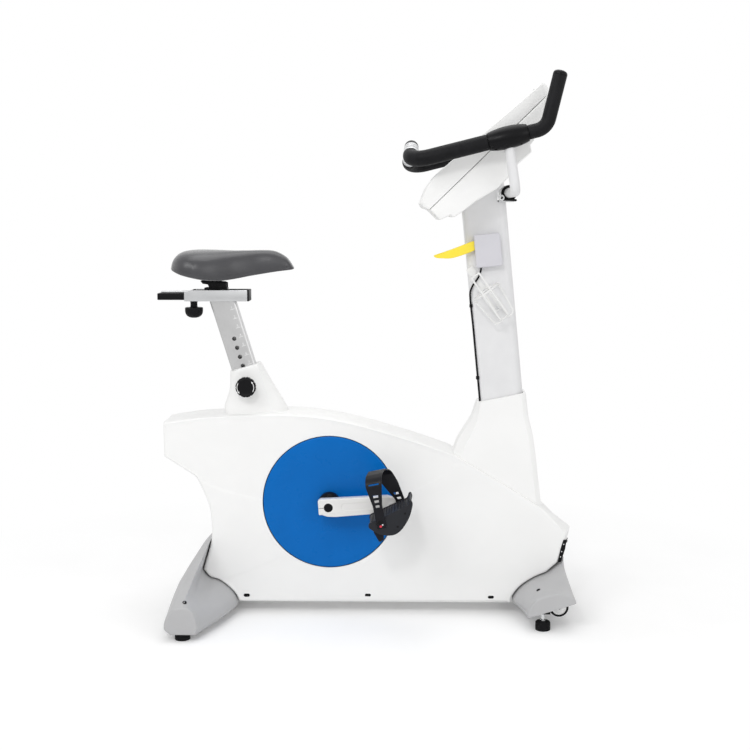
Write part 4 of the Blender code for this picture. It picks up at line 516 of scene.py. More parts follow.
def metal(name, rgb, roughness, stretch, line, depth, tilt=0.0, anisotropic=0.0):
    """Bare metal: fine lines drawn along one axis by brushing, turning or drawing."""
    look, tree, place = started(name)
    along = add(tree, "ShaderNodeMapping", {"Vector": place, "Rotation": (0.0, tilt, 0.0), "Scale": stretch})
    lines = add(tree, "ShaderNodeTexNoise", {"Vector": along.outputs["Vector"], "Scale": per(line),
                                             "Detail": 5, "Roughness": 0.65}).outputs["Fac"]
    cloud = add(tree, "ShaderNodeTexNoise", {"Vector": place, "Scale": per(45), "Detail": 3}).outputs["Fac"]
    bump = add(tree, "ShaderNodeBump", {"Height": lines, "Strength": 0.25, "Distance": depth})
    surface(tree, (lines, darker(rgb, 0.9), rgb), (cloud, roughness - 0.04, roughness + 0.05),
            {"Metallic": 1.0, "Normal": bump.outputs["Normal"], "Anisotropic": anisotropic}, 0.3, 0.7)
    return look


def rubbery(name, rgb, roughness, cell, depth, sheen, ior):
    """Rubber or foam: dull and dark, pitted by its cells, with dust that lifts the high spots."""
    look, tree, place = started(name)
    cells = add(tree, "ShaderNodeTexVoronoi", {"Vector": place, "Scale": per(cell), "Randomness": 0.9},
                feature="F1").outputs["Distance"]
    dust = add(tree, "ShaderNodeTexNoise", {"Vector": place, "Scale": per(22), "Detail": 6}).outputs["Fac"]
    bump = add(tree, "ShaderNodeBump", {"Height": cells, "Strength": 0.5, "Distance": depth})
    surface(tree, (dust, rgb, [c * 1.35 + 0.002 for c in rgb]), (dust, roughness - 0.06, roughness + 0.05),
            {"Normal": bump.outputs["Normal"], "IOR": ior, "Sheen Weight": sheen, "Sheen Roughness": 0.4})
    return look


def leathery(name, rgb):
    """Integral skin of moulded foam: pebbled grain, satin on its high spots, duller where it is sat on."""
    look, tree, place = started(name)
    warp = add(tree, "ShaderNodeTexNoise", {"Vector": place, "Scale": per(6), "Detail": 2})
    bent = add(tree, "ShaderNodeMix", {"Factor": 0.0025, "A": place, "B": warp.outputs["Color"]},
               data_type="VECTOR")
    pebble = add(tree, "ShaderNodeTexVoronoi", {"Vector": bent.outputs["Result"], "Scale": per(1.7)},
                 feature="DISTANCE_TO_EDGE").outputs["Distance"]
    crease = add(tree, "ShaderNodeMapRange", {"Value": pebble, "From Max": 0.22}).outputs["Result"]
    worn = add(tree, "ShaderNodeTexNoise", {"Vector": place, "Scale": per(55), "Detail": 5}).outputs["Fac"]
    bump = add(tree, "ShaderNodeBump", {"Height": crease, "Strength": 0.35, "Distance": 0.00018})
    surface(tree, (worn, darker(rgb, 0.9), rgb), (worn, 0.19, 0.28),
            {"Normal": bump.outputs["Normal"], "IOR": 1.5, "Sheen Weight": 0.06, "Sheen Roughness": 0.5})
    return look


def glazed(name):
    """Polycarbonate window over a dark display: near-black, hard and smooth, with faint fingermarks."""
    look, tree, place = started(name)
    marks = add(tree, "ShaderNodeTexNoise", {"Vector": place, "Scale": per(35), "Detail": 6,
                                             "Distortion": 1.2}).outputs["Fac"]
    surface(tree, (marks, linear("#0C0F12"), linear("#15191D")), (marks, 0.05, 0.16),
            {"IOR": 1.58, "Coat Weight": 0.5, "Coat Roughness": 0.04})
    return look


def printed(name, rgb):
    """Pad-printed ink: matt, very slightly uneven where the pad lifted."""
    look, tree, place = started(name)
    lift = add(tree, "ShaderNodeTexNoise", {"Vector": place, "Scale": per(1.5), "Detail": 3}).outputs["Fac"]
    surface(tree, (lift, darker(rgb, 0.88), rgb), (lift, 0.45, 0.6), {"IOR": 1.5})
    return look


def make_finishes():
    tint = bpy.context.scene.ergometer_colours
    return {
        # ABS, moulded with a fine texture: clean warm white, a soft satin highlight
        "white_abs": moulded("white_textured_abs", list(tint.casing), 0.38, 1.6, 0.0001, 0.015),
        # ABS for the foot covers: flat mid grey, slightly duller than the casing
        "grey_abs": moulded("grey_textured_abs", list(tint.covers), 0.45, 1.6, 0.00012, 0.04),
        # ABS in solid blue: smoother than the casing, so that it mirrors the crank a little
        "blue_abs": moulded("blue_smooth_abs", list(tint.disc), 0.3, 2.4, 0.00004, 0.05, 1.22),
        # ABS of the box and its paddle: the pale one finely textured, the yellow one glossier
        "lavender_grey_abs": moulded("lavender_grey_abs", list(tint.module), 0.42, 1.4, 0.0001, 0.02),
        "yellow_abs": moulded("yellow_smooth_abs", list(tint.paddle), 0.36, 2.0, 0.00005, 0.03),
        # Glass-filled nylon: dark, with a coarser grain that breaks its highlight
        "dark_grey_nylon": moulded("dark_glass_filled_nylon", linear("#2A2B2F"), 0.44, 1.1, 0.00018, 0.12,
                                   1.24),
        "black_nylon": moulded("black_nylon", linear("#111113"), 0.4, 1.1, 0.00012, 0.15, 1.22),
        # Smooth black ABS: the barrel covers on the handlebar, deeper and shinier than nylon
        "black_abs": moulded("black_satin_abs", linear("#0E0E10"), 0.3, 1.8, 0.00006, 0.1, 1.24),
        # Powder coats on steel: satin light grey, white and black
        "light_grey_coated_steel": coated("light_grey_powder_coat", list(tint.mast), 0.4, 2.6, 0.00008),
        "white_coated_wire": coated("white_powder_coat", linear("#EDEDEC"), 0.38, 2.0, 0.00005),
        "black_coated_steel": coated("black_powder_coat", linear("#141416"), 0.42, 2.2, 0.00008, 1.24, 0.0),
        # Aluminium arms under a thin light coat
        "light_grey_coated_alloy": coated("coated_aluminium", list(tint.crank), 0.34, 3.0, 0.00004),
        # Stainless post and aluminium rail, brushed along their length: pale sides, long soft streaks
        "brushed_steel": metal("brushed_steel_along_post", linear("#D3D3D3"), 0.34, (60, 60, 1), 18,
                               0.00003, -POST_TILT, 0.5),
        "brushed_rail": metal("brushed_aluminium_along_rail", linear("#D9DADB"), 0.34, (1, 60, 60), 18,
                              0.00003, 0.0, 0.5),
        # Steel as drawn or turned: small hard glints on screws, studs and spindles
        "bright_steel": metal("bright_drawn_steel", linear("#DCDDDE"), 0.16, (8, 8, 8), 6, 0.00001),
        # Grey iron as cast: dark, coarse and nearly matt
        "cast_iron": metal("grey_cast_iron", linear("#6E6F72"), 0.55, (1, 1, 1), 1.5, 0.0002),
        # Vulcanised rubber of the feet, tyres and belt; softer thermoplastic rubber of the straps
        "black_rubber": rubbery("black_rubber", linear("#131315"), 0.68, 0.9, 0.00012, 0.0, 1.2),
        "strap_rubber": rubbery("strap_elastomer", linear("#111116"), 0.34, 1.2, 0.00006, 0.0, 1.26),
        # Closed-cell foam: matt black skin whose pores of half a millimetre are drawn at 1 mm to show
        "black_foam": rubbery("black_closed_cell_foam", linear("#131315"), 0.52, 1.0, 0.00025, 0.02, 1.22),
        # Skin of moulded polyurethane foam: pebbled like leather, with broad soft highlights
        "saddle_skin": leathery("polyurethane_skin", list(tint.saddle)),
        # Polycarbonate: a dark mirror, slightly smeared
        "screen_glass": glazed("polycarbonate_window"),
        # Inks for scales, arrows and key marks
        "white_ink": printed("white_pad_print", linear("#F4F4F4")),
        "grey_ink": printed("grey_pad_print", linear("#6B6E72")),
        "red_ink": printed("red_pad_print", linear("#D8283C")),
    }


FINISH = {}
CARRIED_OVER = {
    "black_coated_steel": ("main_frame", "rear_stabiliser", "front_stabiliser", "brake_coil"),
    "bright_steel": ("bearing_right", "bearing_left"), "black_nylon": ("drive_pulley",),
    "black_rubber": ("drive_belt",), "cast_iron": ("flywheel",)}


class ERGOMETER_OT_finishes(bpy.types.Operator):
    """Make the materials and give the CAD nodes that stay theirs"""
    bl_idname = "ergometer.finishes"
    bl_label = "Finishes"

    def execute(self, context):
        FINISH.update(make_finishes())
        for look, names in CARRIED_OVER.items():
            for name in names:
                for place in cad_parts[name].material_slots:
                    place.material = FINISH[look]
        return {"FINISHED"}


# Casing

CASE_HALF = 0.076
CASE_FLOOR = 0.034
DISC_HOLE = 0.1832
NOSE_RAKE = 0.018
CASE_TOP = [(-0.549, 0.533), (-0.47, 0.545), (-0.386, 0.552), (-0.3, 0.556), (-0.223, 0.557), (-0.13, 0.551),
            (-0.02, 0.53), (0.116, 0.491), (0.23, 0.452)]
CASE_ARCH_FRONT = [(0.494, 0.121), (0.462, 0.107), (0.426, 0.083), (0.403, 0.054), (0.399, CASE_FLOOR)]
CASE_ARCH_REAR = [(-0.348, CASE_FLOOR), (-0.364, 0.062), (-0.4, 0.093), (-0.428, 0.103), (-0.446, 0.124)]
CASE_WAIST = [(-0.446, 0.124), (-0.442, 0.141), (-0.424, 0.203), (-0.422, 0.248), (-0.429, 0.306),
              (-0.456, 0.371), (-0.468, 0.387)]
UPPER_CREASE = [
    (-0.6, 0.415), (-0.468, 0.377), (-0.456, 0.373), (-0.42, 0.359), (-0.37, 0.341), (-0.284, 0.321),
    (-0.098, 0.305), (0.085, 0.325), (0.132, 0.345), (0.19, 0.378), (0.251, 0.422), (0.33, 0.5)]
LOWER_FLARE = [(-0.44, 0.08), (-0.392, 0.096), (-0.33, 0.118), (-0.254, 0.15), (-0.2, 0.178)]
CASE_SCREWS = ((-0.328, 0.052), (0.006, 0.054), (0.344, 0.05))


def case_outline(shift):
    nose = [(0.23, 0.452), (0.361, 0.374), (0.483, 0.298), (0.549 + shift, 0.232), (0.545 + shift, 0.212),
            (0.526 + shift, 0.15), (0.494, 0.121)]
    line = chain([CASE_TOP], 5)
    line += nose[:-1] + chain([CASE_ARCH_FRONT], 4) + [CASE_ARCH_FRONT[-1]]
    line += chain([CASE_ARCH_REAR, CASE_WAIST], 4) + [CASE_WAIST[-1], (-0.549, 0.44)]
    return line


def soft_step(distance, width):
    t = max(0, min(1.0, distance / width + 0.5))
    return t * t * (3 - 2 * t)


def case_relief(x, z):
    """How far the casing's side lies inside its flat face."""
    depth = sizes().crease
    upper = soft_step(z - between(x, UPPER_CREASE), 0.009)
    fade = max(0, min(1.0, (-0.2 - x) / 0.05))
    lower = soft_step(between(x, LOWER_FLARE) - z, 0.01) * fade
    return depth * max(upper, lower)


def case_points():
    """Points over the casing's side: a coarse net, and rows that follow the creases."""
    points = []
    for i in range(94):
        for j in range(45):
            points.append((-0.55 + 0.012 * i + (0.006 if j % 2 else 0.0), 0.03 + 0.012 * j))
    rows = []
    for line, low, high, spread in ((UPPER_CREASE, -0.55, 0.3, 0.009), (LOWER_FLARE, -0.42, -0.19, 0.01)):
        x = low
        while x < high:
            for share in (-0.5, -0.3, -0.1, 0.1, 0.3, 0.5):
                rows.append((x, between(x, line) + spread * share * 1.02))
            x += 0.005
    points = [p for p in points if min(abs(p[1] - between(p[0], UPPER_CREASE)),
                                       abs(p[1] - between(p[0], LOWER_FLARE))) > 0.01]
    return points + rows


def clear_of(points, outer, holes, room):
    grown = [inset(hole, -room) for hole in holes]
    shrunk = inset(outer, room)
    return [p for p in points if inside(p, shrunk) and not any(inside(p, hole) for hole in grown)]


def screw_slot(centre):
    return oblong(0.0165, 0.0085, 0.00405, 6, centre)


def casing_half(label, side):
    edge = sizes().shoulder
    full, seam = case_outline(0.0), case_outline(NOSE_RAKE)
    levels_out = [(GAP / 2, inset(seam, 0.0006)), (GAP / 2 + 0.0006, seam), (CASE_HALF - edge, full)]
    levels_out += [(level, inset(full, draw)) for level, draw in rims(0.0, CASE_HALF, edge, 5)[6:]]
    rings = [[(x, side * y, z) for x, z in line] for y, line in levels_out[:-1]]
    rim = inset(full, edge)
    rings.append([(x, side * (CASE_HALF - case_relief(x, z)), z) for x, z in rim])
    maker = loft(rings, caps=(False, False))
    holes = [circle(DISC_HOLE, 120, AXLE)] + [screw_slot(at) for at in CASE_SCREWS]
    extra = clear_of(case_points(), rim, holes, 0.003)
    panel(rim, holes, extra, lambda x, z: (x, side * (CASE_HALF - case_relief(x, z)), z), maker)
    shell = piece("casing_shell_" + label, maker, "white_abs", "frame", "casing_" + label, weld=2e-5)
    wall = shell.modifiers.new("wall", "SOLIDIFY")
    wall.thickness = 0.0028
    wall.offset = -1.0
    settle(shell)
    seat = leaning(POST_POINT, POST_TILT, 0.555)
    # Openings for the post, the mast and the two floor beams
    openings = (((seat - 0.048, -0.03, 0.5), (seat + 0.048, 0.03, 0.6)),
                ((0.246, -0.042, 0.28), (0.474, 0.042, 0.46)),
                ((0.39, -0.033, 0.02), (0.52, 0.033, 0.126)),
                ((-0.47, -0.033, 0.02), (-0.38, 0.033, 0.126)))
    carve(shell, [block(low, high) for low, high in openings])
    for k, at in enumerate(CASE_SCREWS):
        cup = bmesh.new()
        levels_in = [(CASE_HALF - 0.0003, -0.0001), (CASE_HALF - 0.004, 0.0003), (CASE_HALF - 0.0042, 0.0012)]
        loft([[(x, side * y, z) for x, z in inset(screw_slot(at), draw)] for y, draw in levels_in],
             (False, True), maker=cup)
        lathe([(0, 0), (0.0026, 0.0), (0.0033, 0.0007), (0.0033, 0.0016), (0, 0.0016)][::-1],
              (at[0], side * (CASE_HALF - 0.0042), at[1]), (0, side, 0), 20, cup)
        piece(f"casing_plug_{label}_{k}", cup, "black_nylon", "frame")


class ERGOMETER_OT_casing(bpy.types.Operator):
    """Casing halves with their creases, disc openings and screw plugs"""
    bl_idname = "ergometer.casing"
    bl_label = "Casing"

    def execute(self, context):
        for label, side in SIDES:
            casing_half(label, side)
        return {"FINISHED"}


# Foot covers, feet and wheels

REAR_INNER = [
    (-0.5, 0.02), (-0.519, 0.045), (-0.517, 0.08), (-0.492, 0.122), (-0.46, 0.17), (-0.427, 0.204),
    (-0.445, 0.142), (-0.4488, 0.1225), (-0.43, 0.1008), (-0.4012, 0.0908), (-0.3665, 0.0605),
    (-0.3525, 0.03), (-0.36, 0.02)]
REAR_OUTER = [
    (-0.498, 0.018), (-0.514, 0.033), (-0.511, 0.058), (-0.5, 0.078), (-0.486, 0.089), (-0.468, 0.093),
    (-0.452, 0.09), (-0.442, 0.083), (-0.435, 0.073), (-0.431, 0.06), (-0.428, 0.045), (-0.428, 0.03),
    (-0.434, 0.018)]
FRONT_INNER = [
    (0.537, 0.15), (0.55, 0.11), (0.552, 0.075), (0.54, 0.048), (0.52, 0.04), (0.48, 0.036), (0.425, 0.036),
    (0.405, 0.038), (0.4078, 0.0528), (0.429, 0.0802), (0.4632, 0.1036), (0.4955, 0.1172), (0.515, 0.1305)]
FRONT_OUTER = [
    (0.548, 0.098), (0.556, 0.086), (0.556, 0.07), (0.545, 0.052), (0.52, 0.044), (0.484, 0.04),
    (0.45, 0.038), (0.432, 0.04), (0.43, 0.052), (0.437, 0.07), (0.454, 0.089), (0.485, 0.102), (0.52, 0.106)]
REAR_SHARES = ((0, 0), (0.25, 0.18), (0.5, 0.42), (0.75, 0.71), (1.0, 1.0))
FRONT_SHARES = ((0, 0), (0.35, 0.45), (0.7, 0.8), (1.0, 1.0))
# Each end's cover: outlines at the casing and at the tip, how it runs between them, its corners and reach,
# the beam that it clears, and the place and direction of its screw
FOOT_COVERS = {"rear": (REAR_INNER, REAR_OUTER, REAR_SHARES, (0, 5, 12), 0.315, (-0.48, -0.354),
                        (-0.4619, 0.2943, 0.0997), (0.2, 0.431, 0.88)),
               "front": (FRONT_INNER, FRONT_OUTER, FRONT_SHARES, (0, 3, 7), 0.224, (0.3, 0.504),
                         (0.4638, 0.1612, 0.0972), (-0.477, 0.053, 0.877))}
FEET = {"rear": (-0.47, 0.288, 0.016), "front": (0.473, 0.196, 0.024)}
WHEEL_AT = (0.519, 0.16, 0.051)
WHEEL_R = 0.026


def foot_cover(label, side, end):
    inner, outer, shares, corners, half, beam, spot, out = FOOT_COVERS[end]
    start, edge = CASE_HALF + 0.004, 0.006
    rows = []
    for along, share in shares:
        y = start + (half - edge - start) * along
        rows.append([Vector((a[0] + (b[0] - a[0]) * share, y, a[1] + (b[1] - a[1]) * share))
                     for a, b in zip(inner, outer)])
    sections = swept(rows, corners)
    centre = [Vector((x, GAP / 2, z)) for x, z in inner]
    if end == "front":
        centre[0] += Vector((0.014, 0, -0.006))
    sections.insert(0, smooth_ring(centre, corners, 4))
    last = [(p.x, p.z) for p in sections[-1]]
    for rise, draw in rims(0, 2 * edge, edge, 5)[6:]:
        sections.append([Vector((x, half - 2 * edge + rise, z)) for x, z in inset(last, draw)])
    maker = loft([[(p.x, side * p.y, p.z) for p in ring] for ring in sections])
    cover = piece(
        f"foot_cover_{end}_{label}", maker, "grey_abs", "frame", f"{end}_foot_cover_{label}", sharp=32)
    screw = lathe(
        [(0, -0.0015), (0.0056, -0.0015), (0.0056, 0.0008), (0.005, 0.0013), (0.0032, 0.0013),
         (0.0028, 0.0001), (0, 0.0001)], (spot[0], side * spot[1], spot[2]), (out[0], side * out[1], out[2]),
        24)
    piece(f"foot_cover_screw_{end}_{label}", screw, "black_nylon", "frame")

    def room(low, high):
        return block((low[0], min(side * low[1], side * high[1]), low[2]),
                     (high[0], max(side * low[1], side * high[1]), high[2]))

    x, y, _ = FEET[end]
    tools = [room((x - 0.0183, -0.01, 0.0457), (x + 0.0183, half - 0.0127, 0.0803)),
             room((beam[0], -0.01, 0.063), (beam[1], 0.031, 0.123)),
             rod(0.01, 0.0, 0.06, (x, side * y, 0.0), (0, 0, 1), 32)]
    if end == "front":
        tools.append(room((0.473, 0.142, -0.01), (0.548, 0.176, 0.08)))
        under = [(0.4245, -0.02), (0.6, -0.02), (0.6, 0.0925), (0.4245, 0.037)]
        tools.append(moulding(under, side * 0.001, side * 0.24, 0.0, steps=1))
    carve(cover, tools, 32)


def levelling_foot(label, side, end):
    x, y, tall = FEET[end]
    pad = lathe(
        [(0, 0), (0.0185, 0), (0.0196, 0.0008), (0.02, 0.002), (0.02, tall - 0.007), (0.0192, tall - 0.0062),
         (0.0192, tall - 0.0052), (0.02, tall - 0.0044), (0.0196, tall - 0.0024), (0.018, tall - 0.0006),
         (0.0165, tall), (0, tall)], (x, side * y, 0), (0, 0, 1), 48)
    body = f"foot_{end}_{label}"
    piece(f"foot_pad_{end}_{label}", pad, "black_rubber", body, f"levelling_foot_{end}_{label}")
    stud = lathe([(0, tall - 0.001), (0.0078, tall - 0.001), (0.0078, tall + 0.0048), (0.007, tall + 0.0052),
                  (0.005, tall + 0.0052), (0.005, 0.052), (0, 0.052)], (x, side * y, 0), (0, 0, 1), 6)
    piece(f"foot_stud_{end}_{label}", stud, "bright_steel", body)


def transport_wheel(label, side):
    """Solid tyre on a white hub with a sunk web."""
    r = WHEEL_R
    tyre = both_ways(
        [(0.0195, -0.0085), (0.0215, -0.0095), (r - 0.003, -0.0095), (r - 0.0008, -0.0078), (r, -0.005)])
    hub = both_ways([(0.0045, -0.01), (0.0095, -0.01), (0.0105, -0.0085), (0.0175, -0.007), (0.0192, -0.0085),
                     (0.02, -0.008)])
    centre = (WHEEL_AT[0], side * WHEEL_AT[1], WHEEL_AT[2])
    body = "wheel_" + label
    piece("wheel_tyre_" + label, lathe(tyre, centre, (0, 1, 0), 56), "black_rubber", body,
          "transport_" + body)
    piece("wheel_hub_" + label, lathe(hub, centre, (0, 1, 0), 56), "white_abs", body)


class ERGOMETER_OT_feet(bpy.types.Operator):
    """Stabiliser covers, levelling feet and transport wheels"""
    bl_idname = "ergometer.feet"
    bl_label = "Feet"

    def execute(self, context):
        for label, side in SIDES:
            for end in ("rear", "front"):
                foot_cover(label, side, end)
                levelling_foot(label, side, end)
            transport_wheel(label, side)
        return {"FINISHED"}


# Drive

def crank_point(side, along, up):
    turn = CRANK_ANGLE + (pi if side > 0 else 0.0)
    flip = 1 if side < 0 else -1
    return (AXLE[0] + along * cos(turn) - up * flip * sin(turn),
            AXLE[1] + along * sin(turn) + up * flip * cos(turn))


CRANK_SHAPE = [
    (-0.027, -0.019), (-0.027, 0.0195), (-0.021, 0.0235), (0.16, 0.0225), (0.186, 0.013), (0.191, 0.0),
    (0.186, -0.013), (0.165, -0.0225), (0.018, -0.0262), (-0.004, -0.0245), (-0.018, -0.019)]


def disc_and_hub(label, side):
    face = 0.078
    disc = [(0.0262, face - 0.004), (0.0262, face), (0.15, face), (0.1775, face - 0.0002),
            (0.1796, face - 0.0005), (0.1806, face - 0.0014), (0.181, face - 0.003), (0.181, face - 0.01),
            (0.178, face - 0.01), (0.178, face - 0.004)]
    piece("wheel_disc_" + label, lathe(disc, across(AXLE, 0), (0, side, 0), 128), "blue_abs", "cranks",
          "disc_" + label)
    hub = [(0.0095, 0.066), (0.04, 0.066), (0.04, 0.0735), (0.0255, 0.0737), (0.0255, 0.0787),
           (0.0298, 0.0789), (0.03, 0.097), (0.0296, 0.099), (0.0284, 0.1003), (0.0205, 0.115),
           (0.0198, 0.1158), (0.0095, 0.1158)]
    piece("crank_hub_" + label, lathe(hub, across(AXLE, 0), (0, side, 0), 64), "black_nylon", "cranks")


def crank(label, side):
    def place(u, v, level):
        x, z = crank_point(side, u, v)
        return (x, side * level, z)

    soft = rounded_outline(CRANK_SHAPE, 0.0035, 3)
    arm = piece("crank_arm_" + label, moulding(soft, CRANK_IN, CRANK_OUT, 0.003, place),
                "light_grey_coated_alloy", "cranks", "crank_" + label)
    recess = oblong(0.104, 0.021, 0.0095, 8, (0.086, 0))
    slit = oblong(0.024, 0.0016, 0.0007, 2, (-0.02, 0))
    bolt = circle(0.0122, 40)
    cutters = [
        loft([[place(a, b, level) for a, b in inset(line, draw)] for level, draw in levels_cut])
        for line, levels_cut in ((recess, ((CRANK_OUT - 0.0011, 0.0012), (CRANK_OUT + 0.001, -0.001))),
                                 (slit, ((CRANK_IN - 0.002, 0), (CRANK_OUT + 0.002, 0))),
                                 (bolt, ((CRANK_OUT - 0.004, 0), (CRANK_OUT + 0.002, 0))))]
    carve(arm, cutters)
    cap = lathe([(0, 0.1385), (0.0119, 0.1385), (0.0119, 0.1418), (0.0112, 0.1425), (0.0086, 0.1427),
                 (0.0082, 0.1421), (0, 0.1419)], across(AXLE, 0), (0, side, 0), 48)
    piece("crank_cap_" + label, cap, "black_nylon", "cranks")
    at = crank_point(side, CRANK_LENGTH, -SPINDLE_DROP)
    spindle = lathe([(0, 0.139), (0.011, 0.139), (0.011, 0.1565), (0.006, 0.157), (0.006, 0.252), (0, 0.252)],
                    (at[0], 0, at[1]), (0, side, 0), 32)
    piece("pedal_spindle_" + label, spindle, "bright_steel", "cranks")


def rounded_outline(points, radius, steps):
    """Closed outline whose corners are small arcs."""
    count = len(points)
    outline = []
    for i in range(count):
        a, b, c = (Vector(points[k % count]) for k in (i - 1, i, i + 1))
        back, ahead = (a - b), (c - b)
        half = max(back.angle(ahead) / 2, 0.05)
        reach = min(radius / tan(half), 0.45 * back.length, 0.45 * ahead.length)
        start, end = b + back.normalized() * reach, b + ahead.normalized() * reach
        if half > radians(86):
            outline.append(tuple(b))
            continue
        for k in range(steps + 1):
            t = k / steps
            outline.append(tuple(start * (1 - t) ** 2 + b * 2 * t * (1 - t) + end * t ** 2))
    return outline


class ERGOMETER_OT_drive(bpy.types.Operator):
    """Blue discs, hubs and cranks with their caps, slits and pedal spindles"""
    bl_idname = "ergometer.drive"
    bl_label = "Discs and Cranks"

    def execute(self, context):
        for label, side in SIDES:
            disc_and_hub(label, side)
            crank(label, side)
        bar = rod(0.0094, -0.139, 0.139, across(AXLE, 0), (0, 1, 0), 32)
        piece("crank_axle_bar", bar, "bright_steel", "cranks", "crank_axle")
        return {"FINISHED"}


# Pedals

def pedal_point(side, toe, up):
    centre = crank_point(side, CRANK_LENGTH, -SPINDLE_DROP)
    return (centre[0] + toe * cos(PEDAL_TILT) - up * sin(PEDAL_TILT),
            centre[1] + toe * sin(PEDAL_TILT) + up * cos(PEDAL_TILT))


def pedal(label, side):
    def place(t, n, level):
        x, z = pedal_point(side, t, n)
        return (x, side * level, z)

    belly = [(0.0645, 0.011), (0.0605, 0.004), (0.045, -0.015), (0.0265, -0.03), (0.004, -0.042),
             (-0.019, -0.043), (-0.046, -0.028), (-0.0635, -0.004), (-0.0645, 0.004)]
    lip = [(0.0485, PEDAL_TOP), (0.053, 0.0145), (0.0575, 0.0195), (0.0625, 0.0215), (0.0652, 0.018),
           (0.0645, 0.011)]
    outline = chain([belly], 5) + [(-0.0645, 0.004), (-0.0605, 0.01), (-0.0545, PEDAL_TOP)] + chain([lip], 4)
    maker = moulding(outline, PEDAL_IN, PEDAL_IN + 0.006, 0.002, place)
    moulding(outline, PEDAL_OUT, PEDAL_OUT - 0.006, 0.002, place, maker=maker)
    moulding(inset(outline, 0.0022), PEDAL_IN + 0.004, PEDAL_OUT - 0.004, 0.0001, place, 1, maker=maker)
    body = f"pedal_{label}_side"
    piece("pedal_body_" + label, maker, "dark_grey_nylon", body, "pedal_" + label)
    ribs = bmesh.new()
    pitch = sizes().rib_pitch
    toe = -0.052
    while toe < 0.042:
        bar = oblong(0.088, 0.003, 0.0014, 3, (PEDAL_IN + 0.052, toe))
        loft([[place(t, n, y) for y, t in inset(bar, draw)]
              for n, draw in ((0.0075, 0), (0.0103, 0), (0.0109, 0.0006))], maker=ribs)
        toe += pitch
    piece("pedal_ribs_" + label, ribs, "dark_grey_nylon", body)
    screws = bmesh.new()
    for level in (PEDAL_OUT, PEDAL_IN):
        way = 1 if level == PEDAL_OUT else -1
        for t, n in ((0.036, -0.004), (0.004, -0.028)):
            x, z = pedal_point(side, t, n)
            lathe([(0.003, -0.001), (0.003, 0.0003), (0.0024, 0.0006), (0.0012, 0.0002), (0, 0)],
                  (x, side * level, z), (0, side * way, 0), 20, screws, closed=False)
    piece("pedal_screws_" + label, screws, "black_coated_steel", body)


def strap_place(height, inward):
    """Middle and half width of the strap: the inner leg stands ahead of the outer one."""
    flare = max(0, min(1.0, (height - 0.045 + 0.03 * inward) / 0.05))
    ahead = 0.057 * inward * (1.0 - 0.55 * max(0, min(1.0, (height - 0.014) / 0.09)))
    return -0.0345 + (height - STRAP_LOW) * tan(STRAP_LEAN) + ahead, 0.0205 * (0.58 + 0.42 * flare)


def strap_band(label, side):
    """Moulded band over the foot: its two legs have square holes, and one a slot at the top."""
    path = rounded(
        [(0, STRAP_OUTER, STRAP_LOW), (0, STRAP_OUTER, 0.115), (0, (STRAP_INNER + STRAP_OUTER) / 2, 0.1195),
         (0, STRAP_INNER, 0.101), (0, STRAP_INNER, STRAP_LOW)], (0.03, 0.03, 0.022), 8)
    dense, runs = [], [0.0]
    for a, b in zip(path, path[1:]):
        steps = max(1, round((b - a).length / 0.0016))
        dense += [a.lerp(b, k / steps) for k in range(steps)]
    dense.append(path[-1])
    for a, b in zip(dense, dense[1:]):
        runs.append(runs[-1] + (b - a).length)
    shares = (-1.0, -0.86, -0.62, -0.4, 0.0, 0.4, 0.62, 0.86, 1.0)
    maker = bmesh.new()
    grid = []
    for point in dense:
        middle, wide = strap_place(point.z, (STRAP_OUTER - point.y) / (STRAP_OUTER - STRAP_INNER))
        row = []
        for share in shares:
            x, z = pedal_point(side, middle + share * wide, point.z - share * wide * tan(STRAP_LEAN))
            row.append(maker.verts.new((x, side * point.y, z)))
        grid.append(row)
    for i in range(len(dense) - 1):
        here = (runs[i] + runs[i + 1]) / 2
        near = here < runs[-1] / 2
        back = here if near else runs[-1] - here
        in_hole = any(
            abs(back - at) < 0.0032 for at in ((0.0578, 0.0705, 0.0832) if near else (0.0315, 0.046)))
        in_slot = near and abs(back - 0.113) < 0.0017
        for j in range(len(shares) - 1):
            if (in_hole and j in (3, 4)) or (in_slot and 2 <= j <= 5):
                continue
            maker.faces.new((grid[i][j], grid[i][j + 1], grid[i + 1][j + 1], grid[i + 1][j]))
    strap = piece("strap_band_" + label, maker, "strap_rubber", f"pedal_{label}_side", "pedal_strap_" + label)
    wall = strap.modifiers.new("wall", "SOLIDIFY")
    wall.thickness = STRAP_WALL
    wall.offset = 0.0
    soft = strap.modifiers.new("edge", "BEVEL")
    soft.width = 0.0006
    soft.segments = 2
    soft.angle_limit = radians(50)
    settle(strap, 40)


